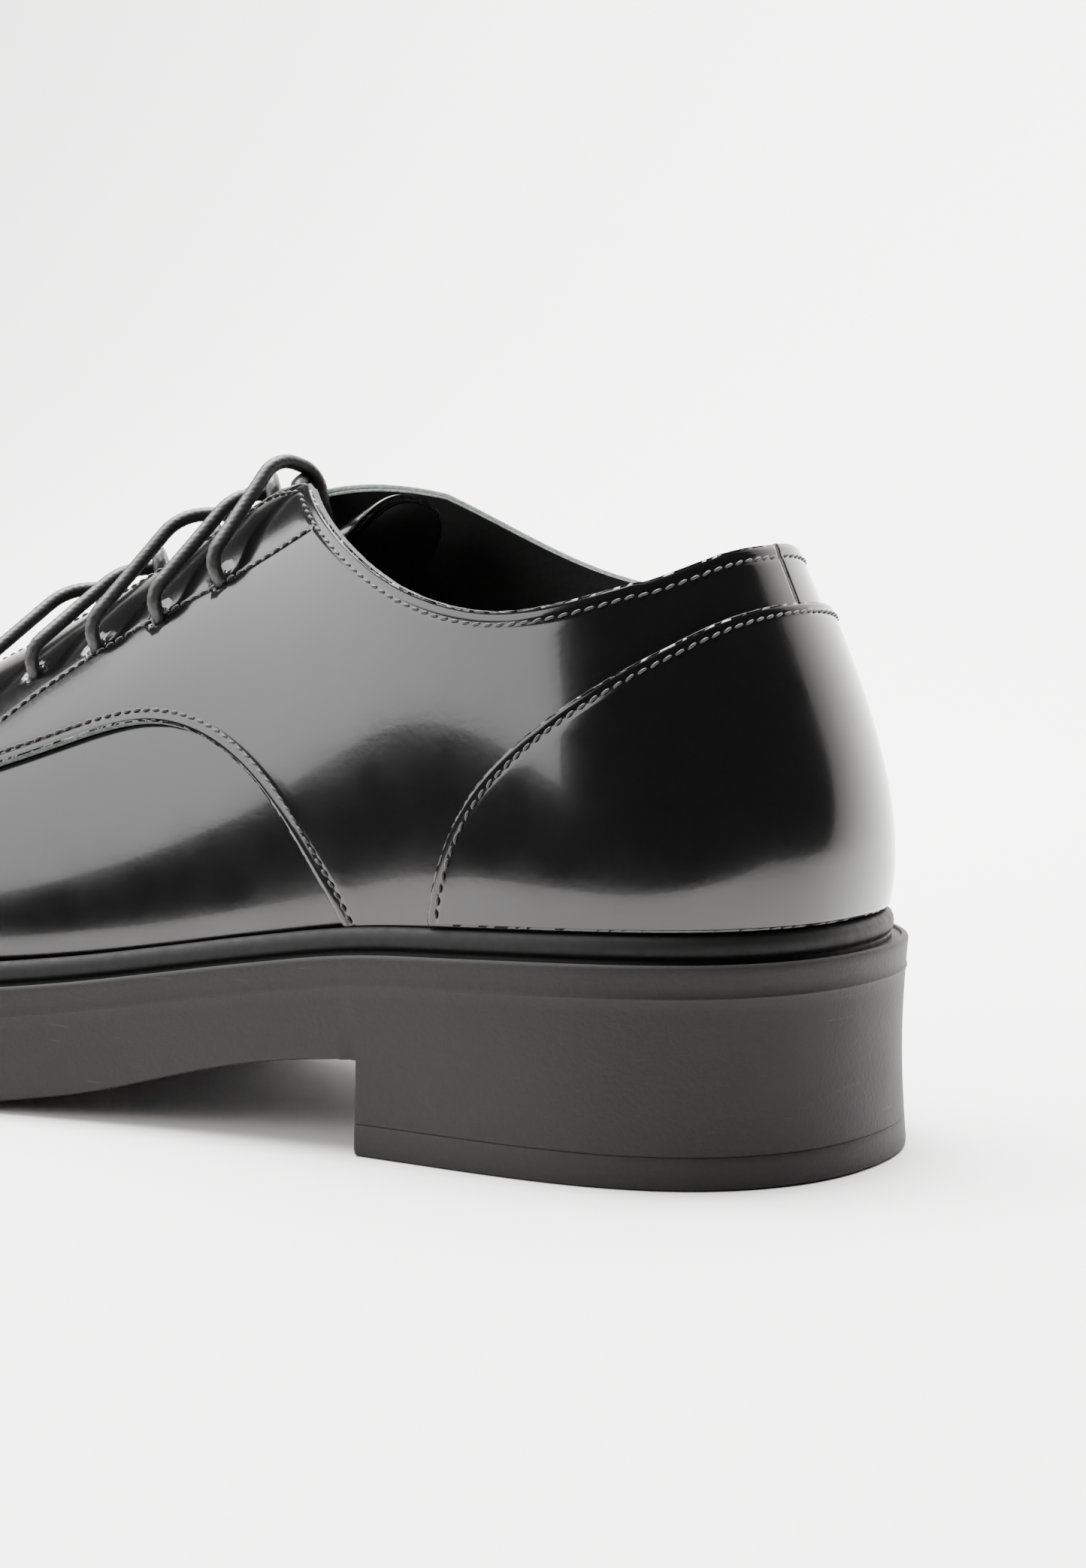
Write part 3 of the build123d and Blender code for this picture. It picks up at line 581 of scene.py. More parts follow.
def leather(name, domain, loops, depth, thick, materials, spacing=1.6, rails=(0.35, 0.8, 1.4),
            grooves=(), sunk=0.11, close_to=None, ease=0.25):
    """A sheet of leather cut to map loops: outer face, raw cut edge and flesh side.

    grooves are map lines where a stitch row pulls the face in. close_to is a map line and the
    depth that the sheet comes up to there, as a lining does at the topline."""
    loops = [by_length(domain, loop, 0.5 if i else 0.9, closed=True) for i, loop in enumerate(loops)]
    marks = domain.point(np.concatenate(loops))
    inner_rails = rail_lines(domain, loops[0], rails)
    for hole in loops[1:]:
        inner_rails += rail_lines(domain, hole, (0.4,), outside=True)
    for groove in grooves:
        groove = by_length(domain, groove, 0.9)
        across = sideways(domain, groove)
        for offset in (-0.9, -0.45, 0.0, 0.45, 0.9):
            line = domain.moved(groove, across * offset)
            near, _ = nearest_of(domain.point(line), marks)
            inner_rails += runs_of(line, inside(line, loops) & (near > 0.3))
    low, high = loops[0].min(0), loops[0].max(0)
    us = [low[0]]
    while us[-1] < high[0]:
        middle = np.array([[us[-1], min(max((low[1] + high[1]) / 2, 2.0), 40.0)]])
        if domain.kind == "front":
            middle[0, 1] = 30.0
        us.append(us[-1] + spacing / np.linalg.norm(domain.tangents(middle)[0][0]))
    vs = np.linspace(low[1], high[1], max(int((high[1] - low[1]) * 1.35 / spacing), 4))
    grid = np.stack([g.ravel() for g in np.meshgrid(us, vs)], axis=1)
    grid = grid[inside(grid, loops)]
    placed = domain.point(np.concatenate(inner_rails))
    far, _ = nearest_of(domain.point(grid), np.concatenate((marks, placed)))
    grid = grid[far > 0.62 * spacing]
    flat, faces = triangulate(loops, inner_rails, grid)

    base, normal = domain.point(flat), domain.normal(flat)
    keep, faces = weld(base, faces)
    flat, base, normal = flat[keep], base[keep], normal[keep]
    corner = base[faces]
    turned = (np.cross(corner[:, 1] - corner[:, 0], corner[:, 2] - corner[:, 0])
              * normal[faces[:, 0]]).sum(1) < 0
    faces[turned] = faces[turned][:, ::-1]

    edge, away = nearest_of(base, marks)
    left = np.clip(1 - edge / EASED, 0, 1)
    height = -ease * left**2
    tilt = (2 * ease * left / EASED)[:, None] * away
    for groove in grooves:
        line = domain.point(by_length(domain, groove, 0.3))
        near, off = nearest_of(base, line)
        dip = -sunk * np.exp(-(near / GROOVE_WIDTH)**2)
        height += dip
        tilt += (dip * -2 * near / GROOVE_WIDTH**2)[:, None] * off
    depths = np.full(len(base), float(depth))
    if close_to is not None:
        line, shallow = close_to
        near, _ = nearest_of(base, domain.point(by_length(domain, line, 0.8)))
        depths = shallow + (depth - shallow) * smooth(near / CLOSE_REACH)
    top = base - (depths - height)[:, None] * normal
    under = base - (depths + thick)[:, None] * normal
    top_normal = unit(normal - tilt)

    directed = np.concatenate((faces[:, (0, 1)], faces[:, (1, 2)], faces[:, (2, 0)]))
    _, back, count = np.unique(np.sort(directed, axis=1), axis=0, return_inverse=True,
                               return_counts=True)
    rim = directed[count[back.reshape(-1)] == 1]
    outwards = np.zeros_like(base)
    face_out = unit(np.cross(base[rim[:, 1]] - base[rim[:, 0]], normal[rim[:, 0]]))
    np.add.at(outwards, rim[:, 0], face_out)
    np.add.at(outwards, rim[:, 1], face_out)
    outwards = unit(outwards)
    n = len(base)
    ring = np.full(n, -1)
    rim_points = np.unique(rim)
    m = len(rim_points)
    ring[rim_points] = np.arange(m)
    rows = cut_edge(top[rim_points], under[rim_points], outwards[rim_points], CUT_SHARES, 1)
    points = np.concatenate([top, under] + rows)
    quads, quad_normals = [], []
    for j in range(len(CUT_SHARES) - 1):
        a, b = ring[rim[:, 0]] + 2 * n + j * m, ring[rim[:, 1]] + 2 * n + j * m
        quads.append(np.stack((b, a, a + m, b + m), axis=1))
        lean = [(0.5 - CUT_SHARES[i]) * CUT_LEAN for i in (j, j + 1)]
        o0, o1 = outwards[rim[:, 0]], outwards[rim[:, 1]]
        n0, n1 = normal[rim[:, 0]], normal[rim[:, 1]]
        quad_normals.append(np.stack((unit(o1 + lean[0] * n1), unit(o0 + lean[0] * n0),
                                      unit(o0 + lean[1] * n0), unit(o1 + lean[1] * n1)), axis=1))
    quads = np.concatenate(quads)
    quad_normals = np.concatenate(quad_normals).reshape(-1, 3)
    all_faces = faces.tolist() + (faces[:, ::-1] + n).tolist() + quads.tolist()
    corners = np.concatenate((top_normal[faces].reshape(-1, 3),
                              -normal[faces[:, ::-1]].reshape(-1, 3), quad_normals))
    kinds = np.concatenate((np.zeros(len(faces)), np.full(len(faces), 2), np.ones(len(quads))))
    return make_mesh(name, points, all_faces, corners, materials, kinds)


def stitch_row(name, domain, line, depth=0.0, around=7, along=6):
    """Stitches along a map line: short bowed threads that dip into the leather at both ends."""
    at = lengths(domain.point(line, depth))
    centres = np.arange(STITCH_START + STITCH_PITCH / 2, at[-1] - 0.5, STITCH_PITCH)
    points, faces = [], []
    for k, centre in enumerate(centres):
        ends = np.array([centre - STITCH_LENGTH / 2, centre, centre + STITCH_LENGTH / 2])
        uv = np.stack((np.interp(ends, at, line[:, 0]), np.interp(ends, at, line[:, 1])), axis=1)
        p = domain.point(uv, depth)
        up = domain.normal(uv[1:2])[0]
        ahead = unit(p[2] - p[0])
        across = np.cross(up, ahead)
        skew = 0.13 + 0.05 * math.sin(k * 2.4)
        start = len(points)
        for i in range(along):
            t = i / (along - 1) * 2 - 1
            centre_point = (p[1] + ahead * t * STITCH_LENGTH / 2 + across * t * skew
                            + up * (2 * STITCH_RAISED * (1 - t * t) - STITCH_DIP))
            radius = THREAD / 2 * math.sqrt(max(1.0 - 0.75 * t**4, 0.05))
            for j in range(around):
                a = 2 * math.pi * j / around
                spoke = across * math.cos(a) + up * math.sin(a)
                points.append(centre_point + spoke * radius)
        for i in range(along - 1):
            for j in range(around):
                a, b = start + i * around + j, start + i * around + (j + 1) % around
                faces.append((a, a + around, b + around, b))
        faces.append(tuple(start + j for j in range(around)))
        faces.append(tuple(start + (along - 1) * around + j for j in range(around))[::-1])
    return make_mesh(name, np.array(points), faces, None, (THREAD_BLACK,))


def finish_piece(piece, body, slot, *nodes):
    """What the frame has to know: the body to ride on and the nodes replaced; slot is not used."""
    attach(piece, body)
    if nodes:
        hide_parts(*nodes)
    return piece


# ---------------------------------------------------------------- materials
def node_material(name, base, roughness):
    """Material with a uniform Principled shader and a coordinate node for its noises."""
    material = bpy.data.materials.new(name)
    material.use_nodes = True
    tree = material.node_tree
    shader = tree.nodes["Principled BSDF"]
    shader.inputs["Base Color"].default_value = (*base, 1.0)
    shader.inputs["Roughness"].default_value = roughness
    where = tree.nodes.new("ShaderNodeTexCoord")
    return material, tree, shader, where


def noise(tree, where, scale, detail=4.0, rough=0.55, stretch=None):
    node = tree.nodes.new("ShaderNodeTexNoise")
    node.inputs["Scale"].default_value = scale
    node.inputs["Detail"].default_value = detail
    node.inputs["Roughness"].default_value = rough
    source = where.outputs["Object"]
    if stretch is not None:
        mapping = tree.nodes.new("ShaderNodeMapping")
        mapping.inputs["Scale"].default_value = stretch
        tree.links.new(source, mapping.inputs["Vector"])
        source = mapping.outputs["Vector"]
    tree.links.new(source, node.inputs["Vector"])
    return node.outputs["Fac"]


def ramp(tree, value, dark, light, low=0.3, high=0.7):
    """The value's low..high span mapped to dark..light."""
    node = tree.nodes.new("ShaderNodeMapRange")
    node.inputs["From Min"].default_value = low
    node.inputs["From Max"].default_value = high
    node.inputs["To Min"].default_value = dark
    node.inputs["To Max"].default_value = light
    tree.links.new(value, node.inputs["Value"])
    return node.outputs["Result"]


def mix_colour(tree, value, dark, light):
    node = tree.nodes.new("ShaderNodeMix")
    node.data_type = "RGBA"
    node.inputs[6].default_value = (*dark, 1.0)
    node.inputs[7].default_value = (*light, 1.0)
    tree.links.new(value, node.inputs[0])
    return node.outputs[2]


def bump(tree, shader, value, strength, distance, after=None):
    node = tree.nodes.new("ShaderNodeBump")
    node.inputs["Strength"].default_value = strength
    node.inputs["Distance"].default_value = distance
    tree.links.new(value, node.inputs["Height"])
    if after is not None:
        tree.links.new(after, node.inputs["Normal"])
    tree.links.new(node.outputs["Normal"], shader.inputs["Normal"])
    return node.outputs["Normal"]


def polished_leather():
    material, tree, shader, where = node_material("polished_leather", (0.0018, 0.0017, 0.0018), 0.17)
    tree.links.new(ramp(tree, noise(tree, where, 90), 0.135, 0.2), shader.inputs["Roughness"])
    shader.inputs["Specular IOR Level"].default_value = 0.38
    shader.inputs["Coat Weight"].default_value = 0.2
    shader.inputs["Coat Roughness"].default_value = 0.06
    wave = bump(tree, shader, noise(tree, where, 26, 2.0), 0.16, 0.0016)
    bump(tree, shader, noise(tree, where, 900, 5.0), 0.05, 0.0002, wave)
    return material


def raw_edge():
    material, tree, shader, where = node_material("raw_edge", (0.1, 0.105, 0.1), 0.85)
    fibres = noise(tree, where, 1400, 6.0, 0.7)
    tree.links.new(mix_colour(tree, ramp(tree, fibres, 0, 1, 0.35, 0.65), (0.02, 0.023, 0.021),
                              (0.1, 0.112, 0.104)), shader.inputs["Base Color"])
    bump(tree, shader, fibres, 0.6, 0.0004)
    return material


def smooth_grain(name, base, roughness, scale, detail, depth, strength):
    """One colour, with a fine grain in its roughness (low, high) and its relief."""
    material, tree, shader, where = node_material(name, base, roughness[0])
    grain = noise(tree, where, scale, detail, 0.6)
    tree.links.new(ramp(tree, grain, *roughness), shader.inputs["Roughness"])
    bump(tree, shader, grain, strength, depth)
    return material, shader


def mottled(name, dark, light, roughness, scale, detail=5.0, strength=0.3, depth=0.0003):
    """Two close colours mixed by a fine grain that is also the relief."""
    material, tree, shader, where = node_material(name, light, roughness)
    grain = noise(tree, where, scale, detail, 0.6)
    tree.links.new(mix_colour(tree, grain, dark, light), shader.inputs["Base Color"])
    bump(tree, shader, grain, strength, depth)
    return material, tree, shader, grain


def sole_rubber():
    material, tree, shader, where = node_material("sole_rubber", (0.03, 0.029, 0.03), 0.62)
    shader.inputs["Specular IOR Level"].default_value = 0.22
    grain = noise(tree, where, 1500, 4.0, 0.7)
    patches = noise(tree, where, 28, 3.0)
    colour = mix_colour(tree, ramp(tree, patches, 0, 1), (0.0052, 0.0048, 0.0047),
                        (0.0078, 0.0072, 0.007))
    scratches = noise(tree, where, 30, 3.0, 0.5, (3.0, 3.0, 60.0))
    marks = ramp(tree, scratches, 0, 1, 0.69, 0.76)
    both = tree.nodes.new("ShaderNodeMix")
    both.data_type = "RGBA"
    both.inputs[7].default_value = (0.03, 0.029, 0.028, 1.0)
    tree.links.new(colour, both.inputs[6])
    faint = tree.nodes.new("ShaderNodeMath")
    faint.operation = "MULTIPLY"
    faint.inputs[1].default_value = 0.35
    tree.links.new(marks, faint.inputs[0])
    tree.links.new(faint.outputs[0], both.inputs[0])
    tree.links.new(both.outputs[2], shader.inputs["Base Color"])
    tree.links.new(ramp(tree, patches, 0.56, 0.68), shader.inputs["Roughness"])
    pits = bump(tree, shader, grain, 0.35, 0.0003)
    bump(tree, shader, patches, 0.08, 0.0008, pits)
    return material


def rand_rubber():
    material, shader = smooth_grain("rand_rubber", (0.002, 0.0019, 0.0019), (0.52, 0.66), 700, 4.0,
                                    0.0002, 0.2)
    shader.inputs["Specular IOR Level"].default_value = 0.2
    return material


def steel():
    material, _, shader, _ = mottled("steel", (0.4, 0.41, 0.43), (0.6, 0.61, 0.63), 0.32, 500,
                                     depth=0.0001)
    shader.inputs["Metallic"].default_value = 1.0
    return material


def thread():
    material, _, shader, _ = mottled("thread", (0.002, 0.002, 0.002), (0.006, 0.006, 0.006), 0.5,
                                     2400, 3.0, 0.4, 0.0001)
    shader.inputs["Sheen Weight"].default_value = 0.15
    return material


def waxed_cord():
    material, tree, shader, fibre = mottled("waxed_cord", (0.003, 0.003, 0.003),
                                            (0.011, 0.0105, 0.0105), 0.46, 1800, 4.0, 0.3, 0.0001)
    tree.links.new(ramp(tree, fibre, 0.38, 0.58), shader.inputs["Roughness"])
    return material


LEATHER_FACE = polished_leather()
RAW_EDGE = raw_edge()
FLESH = mottled("flesh_side", (0.004, 0.004, 0.004), (0.016, 0.0155, 0.015), 0.8, 700, 6.0, 0.4)[0]
LINING = smooth_grain("lining_leather", (0.0025, 0.0023, 0.0023), (0.34, 0.5), 420, 5.0, 0.0003, 0.25)[0]
SOLE = sole_rubber()
RAND = rand_rubber()
THREAD_BLACK = thread()
CORD = waxed_cord()
BOARD = mottled("fibre_board", (0.4, 0.34, 0.26), (0.58, 0.5, 0.4), 0.85, 300)[0]
FOAM = mottled("foam", (0.25, 0.24, 0.23), (0.4, 0.39, 0.38), 0.9, 900)[0]
STIFF = mottled("stiffener", (0.5, 0.46, 0.38), (0.65, 0.6, 0.52), 0.7, 400)[0]
STEEL = steel()
LACQUER = mottled("eyelet_lacquer", (0.01, 0.01, 0.01), (0.02, 0.02, 0.02), 0.3, 900, depth=0.0001)[0]
AGLET = mottled("aglet", (0.01, 0.01, 0.01), (0.02, 0.02, 0.02), 0.2, 600, depth=0.0001)[0]
SKIN = (LEATHER_FACE, RAW_EDGE, FLESH)
LINING_SKIN = (LINING, RAW_EDGE, FLESH)

CAD_FINISH = {
    "bottom_filler": FOAM, "shank": STEEL, "insole_board": BOARD, "heel_pad": FOAM,
    "sock_liner": LINING, "toe_puff": STIFF, "heel_stiffener": STIFF, "aglets": AGLET,
    "eyelet_stay_outer": STIFF, "eyelet_stay_inner": STIFF, "eyelets_outer": LACQUER,
    "eyelets_inner": LACQUER,
}
for node, material in CAD_FINISH.items():
    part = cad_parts[node]
    part.data.materials.clear()
    part.data.materials.append(material)


# ---------------------------------------------------------------- back of the upper

def eyelet_circle(domain, side, k, radius):
    """Round hole about eyelet k of a facing."""
    centre = domain.unfold(side, EYELET_ROWS[k], EYELET_RISE[k])
    normal = outward(side, EYELET_ROWS[k], EYELET_RISE[k])
    u = unit(np.cross(normal, (0.0, 0.0, 1.0)))
    v = np.cross(normal, u)
    angles = np.linspace(0, 2 * math.pi, HOLE_POINTS, endpoint=False)
    steps = radius * (np.cos(angles)[:, None] * u + np.sin(angles)[:, None] * v)
    return domain.moved(np.repeat(centre[None], len(angles), axis=0), steps)


def back_loop(side, front, depth):
    """Outline of a quarter or its lining: foot, front line, facing edge, topline, back seam."""
    domain = Domain("side", side)
    rows = np.linspace(SEAM_ROW - 0.01, 9.0, 240)
    foot = domain.unfold(side, rows, np.full(len(rows), FOOT_RISE))
    line = to_ridge(domain, side, side_curve(domain, side, front, depth))
    facing = facing_edge(domain, side, depth)[::-1]
    near_heel = crossing_rows(domain, side, TOPLINE[side], np.linspace(0, 2.2, 60), depth)
    top = side_curve(domain, side, TOPLINE[side][2:], depth)
    top = top[top[:, 0] > near_heel[-1, 0] + 0.3]
    top = np.concatenate((near_heel, top))[::-1]
    seam = domain.unfold(side, np.full(60, SEAM_ROW), np.linspace(1.03, FOOT_RISE - 0.02, 60))
    loop, lines = closed_loop((foot, line, facing, top, seam))
    return domain, loop, dict(zip(("foot", "front", "facing", "top", "seam"), lines))


for side, word in ((OUTER, "outer"), (INNER, "inner")):
    domain, loop, lines = back_loop(side, QUARTER_SEAM, 0.0)
    middle = domain.unfold(side, 6.0, 0.4)
    holes = [eyelet_circle(domain, side, k, EYELET_HOLE / 2) for k in range(len(EYELET_ROWS))]
    rows = {
        "topline": parallel(domain, lines["top"], ROW_INSET["topline"], middle),
        "seam": parallel(domain, lines["front"], ROW_INSET["seam"], middle),
        "facing": by_length(domain, side_curve(domain, side, FACING_ROW), 0.8),
        "edge": parallel(domain, lines["facing"], ROW_INSET["edge"], middle),
    }
    piece = leather(f"quarter_{word}", domain, [loop] + holes, 0.0, LEATHER, SKIN,
                    grooves=tuple(rows.values()))
    finish_piece(piece, "shoe", "polished_leather", f"quarter_{word}")
    for kind, row in rows.items():
        stitches = stitch_row(f"stitches_{kind}_{word}", domain, row)
        finish_piece(stitches, "shoe", "waxed_cord")
    domain, loop, lines = back_loop(side, LINING_JOIN, 0.0)
    openings = [eyelet_circle(domain, side, k, EYELET_CLEARANCE / 2) for k in range(len(EYELET_ROWS))]
    edge = np.concatenate((lines["facing"], lines["top"]))
    piece = leather(f"quarter_lining_{word}", domain, [loop] + openings, QUARTER_LINING_DEPTH,
                    LINING_THICK, LINING_SKIN, spacing=2.4, rails=(0.5, 2.0), ease=0.0,
                    close_to=(edge, LEATHER + 0.05))
    finish_piece(piece, "shoe", "lining_leather", f"quarter_lining_{word}")

heel = Domain("heel")
edges = []
for side in (OUTER, INNER):
    round_heel = crossing_rows(heel, side, PATCH_EDGE, np.linspace(0, 2.0, 50), -GAP)
    onward = side_curve(heel, side, PATCH_EDGE[2:], -GAP)
    onward = onward[np.abs(onward[:, 0]) > abs(round_heel[-1, 0]) + 0.3]
    edges.append(np.concatenate((round_heel, onward)))
patch_line = np.concatenate((edges[1][::-1], edges[0][1:]))
foot = heel.unfold(1, np.linspace(5.5, -5.5, 300), np.full(300, 0.006))
halfway = len(patch_line) // 2
outer_end, foot = meet(patch_line[halfway:], foot)
inner_end, foot = meet(patch_line[halfway::-1], foot[::-1])
patch_top = np.concatenate((inner_end[::-1], outer_end[1:]))
patch_loop = np.concatenate((patch_top[:-1], foot[::-1][:-1]))
patch_middle = heel.unfold(1, 0.0, 0.3)
patch_row = parallel(heel, patch_top, ROW_INSET["patch"], patch_middle)
piece = leather("counter_patch", heel, [patch_loop], -GAP - PATCH_THICK, PATCH_THICK, SKIN,
                grooves=(patch_row,))
finish_piece(piece, "shoe", "polished_leather", "counter_patch")
stitches = stitch_row("stitches_patch", heel, patch_row, -GAP - PATCH_THICK)
finish_piece(stitches, "shoe", "waxed_cord")

# ---------------------------------------------------------------- front of the upper
front = Domain("front")


def front_loop(curve, depth):
    """Outline of the vamp or its lining: back edge over the ridge, foot, round the toe, foot."""
    sides = [to_ridge(front, side, side_curve(front, side, curve, depth)) for side in (OUTER, INNER)]
    edge = np.concatenate((sides[0], sides[1][::-1][1:]))
    reach = (1 - FOOT_RISE) * RISE_UNIT
    us = np.linspace(3.0 * ROW_UNIT, LAST_ROW * ROW_UNIT, 240)
    inner_foot = np.stack((us, np.full(len(us), -reach)), axis=1)
    vs = np.linspace(-reach, reach, 161)
    toe = np.stack((np.full(len(vs), LAST_ROW * ROW_UNIT), vs), axis=1)
    outer_foot = np.stack((us[::-1], np.full(len(us), reach)), axis=1)
    start, inner_foot = meet(edge, inner_foot)
    outer_foot, start = meet(outer_foot, start)
    return np.concatenate((start[:-1], inner_foot[:-1], toe[:-1], outer_foot[:-1]))


piece = leather("vamp", front, [front_loop(VAMP_EDGE, VAMP_DEPTH)], VAMP_DEPTH, LEATHER, SKIN)
finish_piece(piece, "shoe", "polished_leather", "vamp")
piece = leather("vamp_lining", front, [front_loop(LINING_JOIN, VAMP_LINING_DEPTH)], VAMP_LINING_DEPTH,
                LINING_THICK, LINING_SKIN, spacing=3.0, rails=(1.5,), ease=0.0)
finish_piece(piece, "shoe", "lining_leather", "vamp_lining")


# ---------------------------------------------------------------- tongue
def tongue_sheet(name, depth, thick, materials, trim, rows=60, across=44):
    """Arched sheet along the tongue's centre line, with rounded corners at its free end."""
    curve = spline(np.column_stack((TONGUE[:, 0], TONGUE[:, 2], TONGUE[:, 1], TONGUE[:, 3:])), 0.2)
    length = lengths(curve[:, :2])
    total = length[-1]
    full = total * (1 - (1 - np.linspace(0, 1, rows + 1))**1.3)
    v = np.linspace(-1, 1, across + 1)
    v = np.sin(v * math.pi / 2) * 0.35 + v * 0.65
    full, v = np.meshgrid(full, v, indexing="ij")
    half = np.interp(full, length, curve[:, 4]) - trim
    left = np.clip((np.abs(v) * half - (half - TONGUE_CORNER)) / TONGUE_CORNER, 0, 1)
    back = (1 - np.sqrt(1 - left**2)) * TONGUE_CORNER
    s = full * (total - trim - back) / total
    x, z, y, radius, half = (np.interp(s, length, curve[:, c]) for c in range(5))
    half = half - trim
    angle = v * half / radius

    flat = np.stack((x, y + radius * np.sin(angle), z - radius + radius * np.cos(angle)), axis=-1)
    along, side_step = np.gradient(flat, axis=0), np.gradient(flat, axis=1)
    normal = unit(np.cross(side_step, along))
    normal *= np.sign(normal[..., 2:3] + 1e-9)
    edge = np.minimum((1 - np.abs(v)) * half, total - full)
    ease = 0.25 * np.clip(1 - edge / 0.8, 0, 1)**2
    top = flat - (depth + ease)[..., None] * normal
    under = flat - (depth + thick) * normal
    n_rows, n_across = rows + 1, across + 1
    count = n_rows * n_across

    def index(i, j):
        return i * n_across + j

    top, under, flat_normal = (g.reshape(-1, 3) for g in (top, under, normal))
    faces, corners, kinds = [], [], []
    for i in range(rows):
        for j in range(across):
            quad = (index(i, j), index(i, j + 1), index(i + 1, j + 1), index(i + 1, j))
            a, b, d = (top[quad[k]] for k in (0, 1, 3))
            if np.dot(np.cross(b - a, d - a), flat_normal[quad[0]]) < 0:
                quad = quad[::-1]
            faces.append(quad)
            corners += [flat_normal[q] for q in quad]
            kinds.append(0)
            faces.append(tuple(q + count for q in quad[::-1]))
            corners += [-flat_normal[q] for q in quad[::-1]]
            kinds.append(2)
    rim = [index(0, j) for j in range(across)] + [index(i, across) for i in range(rows)]
    rim += [index(rows, j) for j in range(across, 0, -1)] + [index(i, 0) for i in range(rows, 0, -1)]
    ring_top = top[rim]
    ahead = np.roll(ring_top, -1, axis=0) - np.roll(ring_top, 1, axis=0)
    out = unit(np.cross(ahead, flat_normal[rim]))
    if ((ring_top - ring_top.mean(0)) * out).sum() < 0:
        out = -out
    base = 2 * count
    m = len(rim)
    edge_rows = cut_edge(ring_top, under[rim], out, TONGUE_SHARES, 7)
    for j in range(len(TONGUE_SHARES) - 1):
        for i in range(m):
            a, b = base + j * m + i, base + j * m + (i + 1) % m
            faces.append((a, b, b + m, a + m))
            lean = [(0.5 - TONGUE_SHARES[k]) * CUT_LEAN for k in (j, j + 1)]
            o0, o1 = out[i], out[(i + 1) % m]
            n0, n1 = flat_normal[rim[i]], flat_normal[rim[(i + 1) % m]]
            corners += [o0 + lean[0] * n0, o1 + lean[0] * n1, o1 + lean[1] * n1, o0 + lean[1] * n0]
            kinds.append(1)
    points = np.concatenate([top, under] + edge_rows)
    return make_mesh(name, points, faces, unit(np.array(corners)), materials, kinds)


piece = tongue_sheet("tongue", 0.0, TONGUE_THICK, SKIN, 0.3)
finish_piece(piece, "tongue", "polished_leather", "tongue")
piece = tongue_sheet("tongue_lining", TONGUE_THICK + GAP, TONGUE_LINING_THICK, LINING_SKIN, 0.35)
finish_piece(piece, "tongue", "lining_leather", "tongue_lining")


# ---------------------------------------------------------------- lace
def ridge(x):
    """Height of the middle of the instep at a distance from the heel."""
    row = bisect(6.0, float(LAST_ROW), lambda middle: on_last(OUTER, middle, 1.0)[0] < x)
    return on_last(OUTER, row, 1.0)[2]


def under_facing(side, row, rise, depth=LACE_UNDER):
    return upper_point(np.array(side), np.array(row), np.array(rise), np.array(depth))


def lace_crossing(side, k):
    """Lace from eyelet k of one facing, over the gap, under the other facing."""
    row, rise = EYELET_ROWS[k], EYELET_RISE[k]
    start = under_facing(side, row, rise, LACE_DEPTH)
    over = under_facing(side, row, rise, -LACE_RISE)
    to_x = under_facing(-side, EYELET_ROWS[k + 1], EYELET_RISE[k + 1])[0] if k < 4 else over[0] - 7.0
    arch = LACE_ARCH[0 if (k % 2 == 0) == (side == OUTER) else 1]
    apex_x = (over[0] + to_x) / 2 + 1.0
    apex = (apex_x, side * 4.5, ridge(apex_x) + arch)
    lip = (to_x + 2.0, -side * LACE_DIVE, ridge(to_x + 2.0) + arch - 3.0)
    dive = (to_x + 0.6, -side * LACE_DIVE, ridge(to_x) - 4.8)
    return [start, over, apex, lip, dive]


def half_lace(side):
    """Route of one half of the lace, from the top eyelet down to its tucked end."""
    route = []
    for k in range(5):
        route += lace_crossing(side, k)
        side = -side
        if k < 4:
            route.append(under_facing(side, EYELET_ROWS[k + 1] + 0.02, 0.86))
    tail = ((6.96, 0.86), (6.93, 0.70), (7.02, 0.56), (7.25, 0.47))
    return route + [under_facing(side, row, rise, TAIL_DEPTH) for row, rise in tail]


def rounded(points, tight):
    """Polyline with an arc at each corner; the corners in tight turn right under an eyelet."""
    line = [points[0]]
    for before, here, after in zip(points, points[1:], points[2:]):
        back, on = before - here, after - here
        reach = 0.45 * min(np.linalg.norm(back), np.linalg.norm(on))
        if any(np.linalg.norm(here - mark) < 0.01 for mark in tight):
            reach = min(reach, EYELET_TURN)
        back, on = unit(back), unit(on)
        half = math.acos(np.clip(np.dot(back, on), -1, 1)) / 2
        radius = reach * math.tan(half)
        centre = here + unit(back + on) * radius / math.sin(half)
        first, last = here + back * reach - centre, here + on * reach - centre
        swing = math.pi - 2 * half
        for i in range(9):
            t = i / 8
            arc = (math.sin((1 - t) * swing) * first + math.sin(t * swing) * last) / math.sin(swing)
            line.append(centre + arc)
    return np.array(line + [points[-1]])


starts = [under_facing(side, EYELET_ROWS[k], EYELET_RISE[k], LACE_DEPTH)
          for side in (OUTER, INNER) for k in range(5)]
bar = [under_facing(OUTER, EYELET_ROWS[0], 0.86), under_facing(INNER, EYELET_ROWS[0], 0.86)]
route = [np.array(p, float) for p in half_lace(OUTER)[::-1] + bar + half_lace(INNER)]
lace_line = resample(rounded(route, starts), LACE_STEP)


